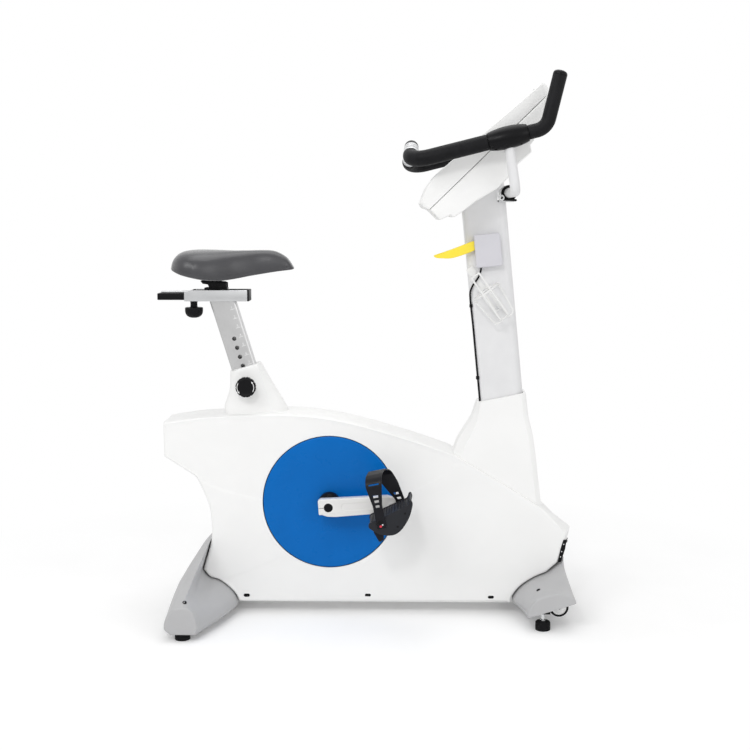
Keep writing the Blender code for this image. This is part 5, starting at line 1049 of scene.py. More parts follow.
def strap_ends(label, side):
    """Free end of the strap under the pedal, a button on each leg and the printed mark beside one."""
    body = f"pedal_{label}_side"
    spots = ((-0.06, -0.013), (-0.0574, -0.045), (-0.0525, -0.0475), (-0.0428, -0.0447), (-0.036, -0.026))
    tail = [pedal_point(side, *spot) for spot in spots]
    tail = moulding(rounded_outline(tail, 0.003, 3), side * 0.252, side * 0.2555, 0.0005, steps=2)
    piece("strap_tail_" + label, tail, "strap_rubber", body)
    reach = sizes().button / 2
    disc = [(0, -0.0005), (reach, -0.0005), (reach, 0.0004), (reach * 0.875, 0.0011), (0.004, 0.0013),
            (0, 0.0013)]
    face, back = STRAP_OUTER + STRAP_WALL / 2, STRAP_INNER - STRAP_WALL / 2
    for name, level, way, inward in (("outer", face, 1, 0.0), ("inner", back, -1, 1.0)):
        x, z = pedal_point(side, strap_place(0.002, inward)[0], 0.002)
        knob = lathe(disc, (x, side * level, z), (0, side * way, 0), 32)
        piece(f"strap_button_{name}_{label}", knob, "black_nylon", body)
    for name, ahead, wide, tight in (("red", -0.0022, 0.0036, 0.003), ("white", 0.004, 0.0022, 0.0018)):
        x, z = pedal_point(side, strap_place(-0.008, 0.0)[0] + ahead, -0.0075 + 0.3 * ahead)
        dot = lathe([(0, -0.0003), (wide, -0.0003), (tight, 0.0003), (0, 0.0003)], (x, side * face, z),
                    (0, side, 0), 24)
        piece(f"strap_mark_{name}_{label}", dot, name + "_ink", body)


class ERGOMETER_OT_pedals(bpy.types.Operator):
    """Ribbed pedals, and straps with their holes and buttons"""
    bl_idname = "ergometer.pedals"
    bl_label = "Pedals and Straps"

    def execute(self, context):
        for label, side in SIDES:
            pedal(label, side)
            strap_band(label, side)
            strap_ends(label, side)
        return {"FINISHED"}


# Seat

SADDLE_TOP = [
    (-0.523, 0.95), (-0.518, 0.97), (-0.508, 0.985), (-0.492, 0.9945), (-0.47, 0.998), (-0.43, 0.9985),
    (-0.368, 0.9975), (-0.33, 0.9985), (-0.272, 0.999), (-0.245, 0.995), (-0.218, 0.98), (-0.206, 0.966),
    (-0.197, 0.951)]
SADDLE_SKIRT = [
    (-0.523, 0.947), (-0.514, 0.942), (-0.486, 0.932), (-0.431, 0.92), (-0.4, 0.9175), (-0.381, 0.9175),
    (-0.35, 0.9215), (-0.312, 0.9285), (-0.24, 0.94), (-0.202, 0.9445), (-0.197, 0.946)]
SADDLE_WIDTH = [
    (-0.523, 0.056), (-0.515, 0.082), (-0.498, 0.108), (-0.48, 0.121), (-0.457, 0.126), (-0.43, 0.121),
    (-0.4, 0.105), (-0.35, 0.065), (-0.3, 0.044), (-0.25, 0.036), (-0.215, 0.029), (-0.203, 0.021),
    (-0.197, 0.012)]
SADDLE_RIB = ((0.86, 0.0), (0.975, 0.05), (1.0, 0.22), (0.985, 0.45), (0.91, 0.68), (0.76, 0.85),
              (0.52, 0.95), (0.25, 0.99), (0, 1.0))


def smooth_table(x, table):
    """Value at x of a smooth curve through a table."""
    keys = [k for k, _ in table]
    i = max(1, min(len(table) - 1, next((k for k, key in enumerate(keys) if key >= x), len(table) - 1)))
    (x0, v0), (x1, v1) = table[i - 1], table[i]
    before = table[i - 2] if i > 1 else table[i - 1]
    after = table[i + 1] if i + 1 < len(table) else table[i]
    width = x1 - x0
    m0 = (v1 - before[1]) / (x1 - before[0]) * width
    m1 = (after[1] - v0) / (after[0] - x0) * width
    t = (x - x0) / width
    return ((2 * t ** 3 - 3 * t ** 2 + 1) * v0 + (t ** 3 - 2 * t ** 2 + t) * m0
            + (-2 * t ** 3 + 3 * t ** 2) * v1 + (t ** 3 - t ** 2) * m1)


def saddle_form(x):
    """Half width, top and skirt of the saddle at a place along it."""
    return [smooth_table(x, table) for table in (SADDLE_WIDTH, SADDLE_TOP, SADDLE_SKIRT)]


def saddle():
    rib = [(p.x, p.y) for p in spline([(y, z, 0) for y, z in SADDLE_RIB], 4)]
    rib = [(0, 0), (0.3, 0.0), (0.6, 0.0)] + rib
    count = 64
    sections = []
    for k in range(count + 1):
        t = k / count
        x = -0.523 + 0.326 * (0.5 - 0.5 * cos(pi * t))
        wide, top, skirt = saddle_form(x)
        ring = [(x, wide * y, skirt + (top - skirt) * z) for y, z in rib]
        ring += [(x, -wide * y, skirt + (top - skirt) * z) for y, z in rib[-2:0:-1]]
        sections.append(ring)
    maker = loft(sections)
    groove = sizes().groove
    for vertex in maker.verts:
        x, y, z = vertex.co
        wide, top, skirt = saddle_form(x)
        upper = max(0.0, (z - skirt) / max(top - skirt, 1e-4) - 0.72) / 0.28
        relief = groove * bell(x, -0.36, 0.12) * bell(y, 0.0, 0.02)
        vertex.co.z -= relief * upper
        if z < skirt + 0.35 * (top - skirt) and abs(y) > 0.8 * wide:
            vertex.co.y -= (1 if y > 0 else -1) * 0.0009 * bell(z - skirt, 0.007, 0.0022)
    made = piece("saddle_pad", maker, "saddle_skin", "saddle_body", "saddle", sharp=60)


def bell(value, centre, width):
    """Bell-shaped share of a value about a centre."""
    return 2.718 ** (-((value - centre) / width) ** 2)


def on_post(along, up, level):
    """Point on the post's right side: up its axis from the pin, along across it."""
    height = PIN_HEIGHT + up * cos(POST_TILT)
    x = leaning(POST_POINT, POST_TILT, height)
    return (x + along * cos(POST_TILT), -level, height + along * sin(POST_TILT))


def post_rings(section, heights):
    return leaning_rings(section, POST_POINT, POST_TILT, heights)


def seat_post():
    """Tube with its pin holes."""
    plan = oblong(0.068, 0.034, 0.007, 7)
    maker = loft(
        post_rings(plan, (0.405, 0.8586)) + post_rings(inset(plan, 0.003), (0.8586, 0.405)), closed=True)
    post = piece("post_tube", maker, "brushed_steel", "seat_column", "seat_post")
    carve(post, [rod(0.006, -0.006, 0.006, Vector(on_post(0, PIN_PITCH * k, 0.017)), (0, -1, 0), 32)
                 for k in range(-4, 6)])


def post_scale():
    """Ticks and numbers printed beside the pin holes."""
    level = 0.01712
    tick = sizes().tick
    marks = bmesh.new()
    for k in range(-4, 9):
        corners = ((0.0135, -0.0007), (0.0135 + tick, -0.0007), (0.0135 + tick, 0.0007), (0.0135, 0.0007))
        sheet(marks, [on_post(a, PIN_PITCH * k + b, level) for a, b in corners])
    piece("post_ticks", marks, "white_ink", "seat_column")
    for k in range(-4, 9):
        label = bpy.data.curves.new("label", "FONT")
        label.body = str(9 - k)
        label.size = 0.011
        written = shown("label", label)
        bpy.context.view_layer.update()
        mesh = bpy.data.meshes.new_from_object(written.evaluated_get(bpy.context.evaluated_depsgraph_get()))
        bpy.data.objects.remove(written)
        for vertex in mesh.vertices:
            a, b = vertex.co.x, vertex.co.y
            vertex.co = on_post(0.0165 + a, PIN_PITCH * k + 0.0018 + b * 0.9, level)
        mesh.materials.clear()
        mesh.materials.append(FINISH["white_ink"])
        number = shown(f"post_number_{9 - k}", mesh)
        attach(number, "seat_column")


POST_COVER_LEVELS = [
    ((-0.371, 0.669), (-0.296, 0.689), (-0.289, 0.6909), 0.042),
    ((-0.373, 0.618), (-0.2758, 0.629), (-0.256, 0.633), 0.046),
    ((-0.387, 0.572), (-0.2578, 0.576), (-0.2196, 0.571), 0.051),
    ((-0.382, 0.545), (-0.25, 0.548), (-0.212, 0.548), 0.054)]


def post_cover_ring(level, depth=0.0, drop=0.0):
    """Ring of the cover round the post: rear, side, front crease and front, drawn in by a depth."""
    rear, crease, centre, wide = level
    wide -= depth
    xr, xc, xm = rear[0] + depth, crease[0] - depth, centre[0] - depth
    half = [(xr, 0.6, rear[1]), (xr + 0.01, 0.93, rear[1] + 0.001),
            (xr + (xc - xr) * 0.45, 1.0, rear[1] + (crease[1] - rear[1]) * 0.45), (xc, 0.84, crease[1]),
            (xc + (xm - xc) * 0.72, 0.42, crease[1] + (centre[1] - crease[1]) * 0.72)]
    ring = [(xr, 0.0, rear[1])] + [(x, -wide * share, z) for x, share, z in half]
    ring += [(xm, 0.0, centre[1])] + [(x, wide * share, z) for x, share, z in half[::-1]]
    return [Vector((x, y, z - drop)) for x, y, z in ring]


def cover_forms(ring, rows, corners):
    """Skin of a tapered cover with a rounded rim at its top, and the hollow inside it."""
    rim = [smooth_ring(ring(rows[0], draw, drop), corners, 4)
           for draw, drop in ((0.0018, 0.0), (0.0006, 0.0005), (0, 0.0018))]
    outer = swept([ring(row) for row in rows], corners)
    inner = swept([ring(row, 0.003, 0.003 if row is rows[0] else 0.0) for row in rows]
                  + [ring(rows[-1], 0.003, 0.02)], corners)
    return loft(rim + outer[1:]), loft(inner)


def seat_post_cover():
    outer, inner = cover_forms(post_cover_ring, POST_COVER_LEVELS, (4, 8))
    cover = piece("post_cover_shell", outer, "white_abs", "frame", "seat_post_cover", sharp=24)
    passage = loft(post_rings(oblong(0.0704, 0.0364, 0.008, 6), (0.62, 0.75)))
    pin_x = leaning(POST_POINT, POST_TILT, PIN_HEIGHT)
    hole = rod(0.0125, 0.03, 0.07, (pin_x, 0, PIN_HEIGHT), (0, -1, 0), 40)
    carve(cover, [inner, passage, hole], 24)


def round_arrow(maker, radius, width, start, end, place):
    """Flat printed arc with an arrowhead at its end."""
    steps = 14
    rows = []
    for k in range(steps + 1):
        t = start + (end - start) * k / steps
        rows.append([maker.verts.new(place(r * cos(t), r * sin(t)))
                     for r in (radius - width / 2, radius + width / 2)])
    for low, high in zip(rows, rows[1:]):
        maker.faces.new((low[0], low[1], high[1], high[0]))
    tip = end + (0.24 if end > start else -0.24)
    head = [(radius - width * 1.5, end), (radius + width * 1.5, end), (radius, tip)]
    sheet(maker, [place(r * cos(t), r * sin(t)) for r, t in head])


def height_knob():
    """Pull knob on the post's pin: scalloped rim, dished face and two printed arrows."""
    centre = (leaning(POST_POINT, POST_TILT, PIN_HEIGHT), 0.0, PIN_HEIGHT)
    profile = [(0, 0.018), (0.0055, 0.018), (0.0055, 0.0603), (0.0118, 0.0603), (0.0118, 0.0745),
               (0.0225, 0.0745), (0.0262, 0.0765), (0.0275, 0.079), (0.0275, 0.0885), (0.0268, 0.0912),
               (0.0245, 0.0932), (0.0222, 0.0938), (0.0212, 0.0932), (0.015, 0.0926), (0, 0.0924)]
    lobes = lathe(profile, centre, (0, -1, 0), 120, wave=notched(0.045, 12, 3, 0.024))
    piece("height_knob_grip", lobes, "black_nylon", "height_knob_body", "height_knob")
    marks = bmesh.new()

    def face(a, b):
        return (centre[0] + a, -0.0942, centre[2] + b)

    for start, end in ((radians(150), radians(212)), (radians(-30), radians(32))):
        round_arrow(marks, 0.0226, 0.0016, start, end, face)
    piece("height_knob_arrows", marks, "white_ink", "height_knob_body")


RAIL_MIDDLE = 0.8745
FORE_AFT_X = -0.4715


def seat_rail():
    """Drawn tube along the seat, with a chamfered rear top, a slot, a front plug and a slot liner."""
    section = oblong(0.06, 0.031, 0.0016, 4, (0, RAIL_MIDDLE))
    inner = oblong(0.054, 0.025, 0.001, 4, (0, RAIL_MIDDLE))
    start, end = -0.493, -0.3215
    walls = ((start, section), (end, section), (end, inner), (start, inner))
    maker = loft([[(x, a, b) for a, b in ring] for x, ring in walls], closed=True)
    rail = piece("rail_tube", maker, "brushed_rail", "seat_column", "seat_rail")
    wedge = moulding([(-0.5, 0.8835), (-0.494, 0.8835), (-0.472, 0.8895), (-0.472, 0.893), (-0.5, 0.893)],
                     -0.04, 0.04, 0.0, steps=1)
    slot = block((-0.462, -0.0125, 0.88), (-0.3235, 0.0125, 0.9))
    stem = rod(0.0062, -0.01, 0.01, (FORE_AFT_X, 0, 0.859), (0, 0, 1), 32)
    carve(rail, [wedge, slot, stem])
    plug = moulding(section, -0.323, -0.3172, 0.0012, along_x, 3)
    piece("rail_plug", plug, "black_nylon", "seat_column")
    liner = moulding(oblong(0.06, 0.046, 0.004, 4, (-0.3475, 0)), 0.889, 0.8903, 0.0002, along_z, 2)
    liner = piece("rail_slot_liner", liner, "black_nylon", "seat_column")
    carve(liner, [block((-0.38, -0.012, 0.88), (-0.324, 0.012, 0.9))])
    screw = lathe([(0, 0.0014), (0.0016, 0.0014), (0.0019, 0.002), (0.0034, 0.0017), (0.0038, 0.0008),
                   (0.0038, -0.0005), (0, -0.0005)], (-0.4655, -0.0246, 0.8902), (0, 0, 1), 24)
    piece("rail_screw", screw, "black_nylon", "seat_column")


def seat_slider():
    body = oblong(0.0532, 0.0182, 0.002, 4, (0, 0.8715))
    piece("slider_bar", moulding(body, -0.567, -0.3838, 0.0022, along_x, 3), "black_nylon", "seat_carriage",
          "seat_slider")
    strip = oblong(0.024, 0.0056, 0.0008, 2, (0, 0.8838))
    piece("slider_strip", moulding(strip, -0.5585, -0.3855, 0.0008, along_x, 2), "brushed_rail",
          "seat_carriage")
    marks = bmesh.new()
    for k in range(9):
        x = -0.55 + 0.008 * k
        reach = 0.0085 if k % 4 == 0 else 0.0055
        sheet(marks, [(x + a, -0.0105 + b, 0.88668)
                      for a, b in ((0, 0), (0.0008, 0), (0.0008, reach), (0, reach))])
    piece("slider_scale", marks, "grey_ink", "seat_carriage")


def fore_aft_knob():
    """Domed clamp knob under the rail, ribbed for grip."""
    profile = [(0, 0), (0.008, 0.0006), (0.014, 0.0024), (0.0188, 0.0056), (0.0222, 0.01), (0.024, 0.015),
               (0.0245, 0.02), (0.0245, 0.0268), (0.0238, 0.0284), (0.022, 0.029), (0.0115, 0.029),
               (0.0098, 0.031), (0.0094, 0.04), (0.01, 0.0462), (0.0055, 0.0465), (0.0055, 0.05), (0, 0.05)]
    grip = lathe(profile, (FORE_AFT_X, 0, 0.812), (0, 0, 1), 144, wave=notched(0.035, 18, 2, 0.0185))
    piece("fore_aft_knob_grip", grip, "black_nylon", "fore_aft_knob_body", "fore_aft_knob")


def saddle_clamp():
    """Yoke on the slider with its two cheeks, the serrated washers and the tilt bolt."""
    foot = moulding(oblong(0.062, 0.04, 0.004, 5, (-0.409, 0)), 0.8905, 0.8955, 0.0012, along_z, 3)
    loft([[(x, y, z) for x, y in ((-0.43, -0.0118), (-0.385, -0.0118), (-0.385, 0.0118), (-0.43, 0.0118))]
          for z in (0.8871, 0.8945)], maker=foot)
    cheek = rounded_outline(
        [(-0.3795, 0.8945), (-0.3795, 0.9085), (-0.386, 0.9113), (-0.4505, 0.9148), (-0.444, 0.9062),
         (-0.4297, 0.9042), (-0.4257, 0.8945)], 0.0015, 3)
    for low, high in ((0.0135, 0.02), (-0.02, -0.0135)):
        moulding(cheek, low, high, 0.001, steps=2, maker=foot)
    piece("saddle_yoke", foot, "black_coated_steel", "seat_carriage", "saddle_clamp")
    washer = bmesh.new()
    for way in (-1, 1):
        lathe([(0, 0.02), (0.0122, 0.02), (0.0122, 0.0212), (0.0112, 0.0222), (0.0096, 0.0224), (0, 0.0224)],
              across(TILT_BOLT, 0), (0, way, 0), 72, washer, wave=notched(0.03, 24, 1, 0.01))
    piece("tilt_washers", washer, "black_nylon", "seat_carriage")
    bolt = bmesh.new()
    for way in (-1, 1):
        lathe([(0, 0.0205), (0.0068, 0.0205), (0.0068, 0.0242), (0.006, 0.0249), (0.0034, 0.0249),
               (0.0034, 0.0232), (0, 0.0232)], across(TILT_BOLT, 0), (0, way, 0), 6 if way > 0 else 36, bolt)
    piece("tilt_bolt_ends", bolt, "black_coated_steel", "seat_carriage")


def saddle_underside():
    """Plate let in under the saddle, and the lug that tilts on the bolt."""
    def level(x):
        return 0.9405 + (0.9475 - 0.9405) * (x + 0.495) / 0.255

    stations = [-0.488 + 0.246 * k / 24 for k in range(25)]
    half = [(x, max(0.012, smooth_table(x, SADDLE_WIDTH) * 0.78)) for x in stations]
    plan = half + [(x, -y) for x, y in half[::-1]]
    plate = loft([[(x, y, level(x) - rise) for x, y in inset(plan, draw)]
                  for rise, draw in ((0.0038, 0.002), (0.003, 0.0), (0.0002, 0.0))])
    for k in range(3):
        x = -0.458 + 0.052 * k
        high = level(x) - 0.003
        wide = smooth_table(x, SADDLE_WIDTH) * 0.55
        loft([[(x + a, b, z) for a, b in oblong(0.004 - draw, 2 * wide - draw, 0.0012, 2)]
              for z, draw in ((high, 0.0), (high - 0.0035, 0.0008))], maker=plate)
    piece("saddle_plate", plate, "black_nylon", "saddle_body", "saddle_base")
    centre = TILT_BOLT
    arc = [(centre[0] + 0.009 * cos(pi + pi * k / 14), centre[1] + 0.009 * sin(pi + pi * k / 14))
           for k in range(15)]
    top = level(centre[0]) - 0.0035
    lug = moulding(arc + [(-0.395, 0.9125), (-0.39, top), (-0.45, top), (-0.448, 0.915), (-0.43, 0.9075)],
                   -0.0131, 0.0131, 0.0008, steps=2)
    lug = piece("tilt_lug", lug, "black_coated_steel", "saddle_body")
    carve(lug, [rod(0.0054, -0.03, 0.03, across(TILT_BOLT, 0), (0, 1, 0), 32)])


class ERGOMETER_OT_seat(bpy.types.Operator):
    """Saddle, post with its scale, rail, slider and clamp"""
    bl_idname = "ergometer.seat"
    bl_label = "Seat"

    def execute(self, context):
        saddle()
        saddle_underside()
        saddle_clamp()
        seat_post()
        post_scale()
        seat_post_cover()
        seat_rail()
        seat_slider()
        height_knob()
        fore_aft_knob()
        return {"FINISHED"}


# Mast and console

MAST_TRIM = [(0.2, 1.066), (0.251, 1.0984), (0.285, 1.1254), (0.336, 1.155), (0.34, 1.1573), (0.352, 1.1693),
             (0.352, 1.126), (0.46, 1.126), (0.46, 1.3), (0.2, 1.3)]
MAST_COVER_ROWS = [((0.304, 0.587), (0.313, 0.5885), (0.436, 0.612), 0.044),
                   ((0.291, 0.545), (0.303, 0.536), (0.4444, 0.545), 0.047),
                   ((0.272, 0.512), (0.288, 0.5), (0.455, 0.5), 0.052),
                   ((0.252, 0.478), (0.268, 0.462), (0.464, 0.44), 0.057),
                   ((0.235, 0.43), (0.252, 0.4), (0.4835, 0.28), 0.064)]
CONSOLE_HALF = 0.175
SHEET_MIDDLE = 0.17125
CONSOLE_FRONT = [
    (0.1445, 1.122), (0.159, 1.162), (0.181, 1.193), (0.45, 1.423), (0.46, 1.4205), (0.467, 1.412),
    (0.4635, 1.393), (0.1676, 1.1058), (0.152, 1.111)]
CONSOLE_BACK = [
    (0.1682, 1.1053), (0.4639, 1.3922), (0.453, 1.338), (0.432, 1.28), (0.423, 1.268), (0.427, 1.251),
    (0.393, 1.221), (0.368, 1.186), (0.34, 1.158), (0.285, 1.126), (0.251, 1.099), (0.231, 1.086),
    (0.222, 1.091), (0.195, 1.079)]


def mast_rings(section, heights):
    return leaning_rings(section, MAST_POINT, MAST_TILT, heights)


def mast_rear(height):
    return leaning(MAST_POINT, MAST_TILT, height) - 0.0595 / cos(MAST_TILT)


def mast_plan(long, wide, tight, full):
    """Section of the mast, whose corners are tighter at its rear."""
    return [rear if rear[0] < 0 else front
            for rear, front in zip(oblong(long, wide, tight, 8), oblong(long, wide, full, 8))]


def mast():
    outer, inner = mast_plan(0.119, 0.07, 0.015, 0.024), mast_plan(0.111, 0.062, 0.011, 0.02)
    rings = mast_rings(outer, (0.345, 1.19)) + mast_rings(inner, (1.19, 0.345))
    column = piece("mast_column", loft(rings, closed=True), "light_grey_coated_steel", "frame", "mast")
    carve(column, [moulding(MAST_TRIM, -0.06, 0.06, 0.0, steps=1),
                   block((0.3, -0.0206, 0.33), (0.345, 0.0206, 0.438))])


def mast_cover_ring(row, depth=0.0, drop=0.0):
    rear, corner, front, wide = row
    wide -= depth
    xr, xc, xf = rear[0] + depth, corner[0] + depth * 0.6, front[0] - depth
    half = [(xr, wide * 0.55, rear[1]), (xc, wide, corner[1]),
            ((xc + xf) / 2, wide, (corner[1] + front[1]) / 2), (xf - 0.014, wide, front[1] - 0.002),
            (xf - 0.003, wide - 0.008, front[1]), (xf, wide - 0.02, front[1])]
    ring = [(x, -y, z) for x, y, z in half] + [(x, y, z) for x, y, z in half[::-1]]
    return [Vector((x, y, z - drop)) for x, y, z in ring]


def mast_cover():
    """Tapered cover over the foot of the mast."""
    outer, inner = cover_forms(mast_cover_ring, MAST_COVER_ROWS, (0, 1, 3, 8, 10, 11))
    cover = piece("mast_foot_cover", outer, "white_abs", "frame", "mast_cover", sharp=20)
    passage = loft(mast_rings(oblong(0.121, 0.072, 0.016, 8), (0.55, 0.65)))
    lead = tube([(mast_rear(height) - GAP, LEAD_Y, height) for height in (0.55, 0.65)], 0.0035, 20)
    carve(cover, [inner, passage, lead], 20)


def on_screen(along, out):
    """X and Z of a distance up the screen and out of it."""
    return (SCREEN_FOOT[0] + SCREEN_ALONG[0] * along + SCREEN_OUT[0] * out,
            SCREEN_FOOT[1] + SCREEN_ALONG[1] * along + SCREEN_OUT[1] * out)


def at_screen(along, aside, out):
    x, z = on_screen(along, out)
    return (x, aside, z)


def screen_slab(plan, low, high, edge, steps=2, maker=None):
    """Slab square to the screen from a plan of (along, aside) pairs."""
    return moulding(plan, low, high, edge, at_screen, steps, maker)


def console_case(name, shape, edge, stands_for, hollow):
    """One half of the console's case: moulded, its corners rounded, and emptied."""
    case = piece(name, moulding(shape, -CONSOLE_HALF, CONSOLE_HALF, edge, steps=3), "white_abs", "frame",
                 stands_for, sharp=28)
    corners = oblong(0.437, 2 * CONSOLE_HALF + 0.002, 0.019, 10, (0.1424, 0))
    carve(case, [screen_slab(corners, -0.2, 0.02, 0.0, 1)], 28, "INTERSECT")
    carve(case, hollow, 28)
    return case


def console():
    pocket = screen_slab(oblong(0.3181, 0.3006, 0.006, 6, (SHEET_MIDDLE, 0)), -0.0048, 0.02, 0.0, 1)
    spots = ((-0.052, -0.08), (0.335, -0.08), (0.335, -0.0105), (0.004, -0.0105), (-0.036, -0.0165),
             (-0.052, -0.0265))
    behind = [on_screen(*spot) for spot in spots]
    console_case("console_bezel", CONSOLE_FRONT, 0.004, "console_front",
                 [pocket, moulding(behind, -0.169, 0.169, 0.0, steps=1)])
    inner = inset(CONSOLE_BACK, 0.003)
    lifted = [(x + SCREEN_OUT[0] * 0.02, z + SCREEN_OUT[1] * 0.02) for x, z in inner[:2]]
    empty = moulding(lifted + inner[1:] + [inner[0]], -0.1655, 0.1655, 0.0, steps=1)
    console_case("console_shell", CONSOLE_BACK, 0.005, "console_back", [empty])


def screen_line(maker, along, aside, length, width, out, turn=0.0):
    """Flat printed bar on the screen, about a centre."""
    half, thin = length / 2, width / 2
    sheet(maker, [at_screen(along + a * sin(turn) + b * cos(turn), aside + a * cos(turn) - b * sin(turn), out)
                  for a, b in ((-half, -thin), (half, -thin), (half, thin), (-half, thin))])


def display():
    """Keypad membrane with a dark window, four raised keys and their marks."""
    membrane = screen_slab(oblong(0.317, 0.3, 0.006, 6, (SHEET_MIDDLE, 0)), -0.0045, -0.0019, 0.0004)
    membrane = piece("display_membrane", membrane, "grey_abs", "frame", "display_panel")
    window = oblong(0.18, 0.262, 0.008, 6, (0.218, 0))
    carve(membrane, [screen_slab(window, -0.003, 0.01, 0.0, 1)])
    glass = screen_slab(inset(window, 0.0004), -0.0034, -0.0023, 0.0003)
    piece("display_window", glass, "screen_glass", "frame")
    keys, marks = bmesh.new(), bmesh.new()
    for k, aside in enumerate((-0.096, -0.032, 0.032, 0.096)):
        plan = oblong(0.034, 0.05, 0.01, 6, (0.078, aside))
        screen_slab(plan, -0.0026, -0.0012, 0.0008, 3, keys)
        screen_line(marks, 0.078, aside, 0.016, 0.0022, -0.00112)
        if k in (1, 3):
            screen_line(marks, 0.078, aside, 0.016, 0.0022, -0.00108, pi / 2)
    for k in range(12):
        screen_line(marks, 0.042, -0.11 + 0.02 * k, 0.012, 0.0012, -0.00185)
    piece("display_keys", keys, "white_abs", "frame")
    piece("display_marks", marks, "grey_ink", "frame")
    lamps = bmesh.new()
    for aside in (-0.118, 0.118):
        x, z = on_screen(0.3205, -0.002)
        lathe([(0, 0.0009), (0.0018, 0.0006), (0.0024, 0.0), (0.0024, -0.0008), (0, -0.0008)], (x, aside, z),
              (SCREEN_OUT[0], 0, SCREEN_OUT[1]), 20, lamps)
    piece("display_lamps", lamps, "screen_glass", "frame")


class ERGOMETER_OT_console(bpy.types.Operator):
    """Mast with its foot cover, and the console with its screen and keys"""
    bl_idname = "ergometer.console"
    bl_label = "Mast and Console"

    def execute(self, context):
        mast()
        mast_cover()
        console()
        display()
        return {"FINISHED"}


# Handlebar

HORN_TOP = (0.4881, 1.4393)
HORN_CORNER = (0.4562, 1.3066)
BAR_R = 0.013
BARREL = ((0.4105, 1.2955), (0.3605, 1.2835), (0.31, 1.2715))
STEM_TOP = (0.3615, 0.232, 1.276)
STEM_LOW = (PIVOT[0], 0.226, PIVOT[1])
RISER_END = (0.1186, 0.182, 1.2429)
CROSS_BEND = (0.121, 0.12, 1.2655)


def horn_path(side, shorter):
    """From the barrel's front up to the top of the horn."""
    ahead = (Vector(HORN_TOP) - Vector(HORN_CORNER)).normalized()
    top = Vector(HORN_TOP) - ahead * shorter
    y = side * BAR_HALF
    return rounded([across(BARREL[0], y), across(HORN_CORNER, y), (top.x, y, top.y)], (0.04,), 12)


def bar_path(side):
    """From the barrel's rear back round the elbow to the sensor bar."""
    y = side * BAR_HALF
    return rounded([across(BARREL[2], y), (0.1165, y, 1.2235),
                    (RISER_END[0], side * RISER_END[1], RISER_END[2])], (0.045,), 12)


def cross_path():
    """From the right riser over to the left one."""
    (x, y, z), (bend_x, bend_y, bend_z) = RISER_END, CROSS_BEND
    return rounded(
        [(x, -y, z), (bend_x, -bend_y, bend_z), (bend_x, bend_y, bend_z), (x, y, z)], (0.04, 0.04), 8)


def from_start(path, distance):
    """Path whose first point is moved on by a distance."""
    return [path[0] + (path[1] - path[0]).normalized() * distance] + path[1:]


def softened(path, radius, edge):
    """Path and radii of a bar whose two ends are rounded by a small edge."""
    first = (path[1] - path[0]).normalized()
    last = (path[-2] - path[-1]).normalized()
    line = [path[0], path[0] + first * edge * 0.3, path[0] + first * edge] + path[1:-1]
    line += [path[-1] + last * edge, path[-1] + last * edge * 0.3, path[-1]]
    radii = [radius - edge, radius - edge * 0.3, radius] + [radius] * (len(path) - 2)
    return line, radii + [radius, radius - edge * 0.3, radius - edge]


def bars():
    steel = "light_grey_coated_steel"
    runs = []
    for _, side in SIDES:
        y = side * BAR_HALF
        runs.append(horn_path(side, 0.004)[::-1] + [Vector(across(BARREL[1], y))] + bar_path(side))
    path = runs[0] + cross_path()[1:-1] + runs[1][::-1]
    piece("bar_tube", tube(path, BAR_R, 28), steel, "bars", "handlebar")
    mirror = [(x, -y, z) for x, y, z in (STEM_TOP, STEM_LOW)]
    stem = rounded(mirror + [STEM_LOW, STEM_TOP], (0.03, 0.03), 12)
    piece("bar_stems", tube(stem, BAR_R, 28), steel, "bars")


def horn_grip(label, side):
    path = from_start(horn_path(side, 0.003), GAP)
    piece("horn_foam_" + label, tube(*softened(path, 0.018, 0.001), 36), "black_foam", "bars",
          "horn_grip_" + label)
    ahead = (Vector(HORN_TOP) - Vector(HORN_CORNER)).normalized()
    top = Vector(HORN_TOP) - ahead * 0.005
    cap = lathe(
        [(0, 0), (0.0176, 0.0), (0.0181, 0.0008), (0.0181, 0.004), (0.017, 0.0078), (0.014, 0.0108),
         (0.0092, 0.0128), (0.004, 0.0136), (0, 0.0138)], (top.x, side * BAR_HALF, top.y),
        (ahead.x, 0, ahead.y), 48)
    piece("horn_cap_" + label, cap, "black_abs", "bars")


def bar_grip(label, side):
    path = from_start(bar_path(side), GAP)
    piece("bar_foam_" + label, tube(*softened(path, 0.02, 0.0015), 36), "black_foam", "bars",
          "bar_grip_" + label)


def clamp_cover(label, side):
    """Barrel over the joint of the stem and the side bar, with a lip at each end and two screw holes."""
    y = side * BAR_HALF
    front, rear = Vector(across(BARREL[0], y)), Vector(across(BARREL[2], y))
    half = (rear - front).length / 2 - GAP
    way = (rear - front).normalized()
    middle = (front + rear) / 2
    lip = [(0.0137, -half), (0.0205, -half), (0.0215, -half + 0.0006), (0.0219, -half + 0.0018)]
    belly = ((0.0212, -0.962), (0.0218, -0.955), (0.0233, -0.88), (0.0262, -0.62), (0.0281, -0.3))
    profile = both_ways(lip + [(r, half * share) for r, share in belly], ((0.0286, 0.0),))
    barrel = lathe(profile, middle, way, 72)
    barrel = piece(
        "barrel_cover_" + label, barrel, "black_abs", "bars", "clamp_cover_" + label)
    tools = [tube([(x, side * out, z) for x, out, z in (STEM_TOP, STEM_LOW)], 0.0145, 32)]
    down = Vector((0, side * 0.42, -0.91)).normalized()
    spots = []
    for share, reach in ((-0.66, 0.0262), (0.6, 0.0264)):
        at = middle + way * half * share
        spots.append((at, reach))
        tools.append(tube([at + down * (reach - 0.003), at + down * (reach + 0.006)], 0.0027, 24))
    carve(barrel, tools)
    for k, (at, reach) in enumerate(spots):
        screw = tube([at + down * (reach - 0.0034), at + down * (reach - 0.0026)], 0.0025, 20)
        piece(f"barrel_screw_{label}_{k}", screw, "black_coated_steel", "bars")


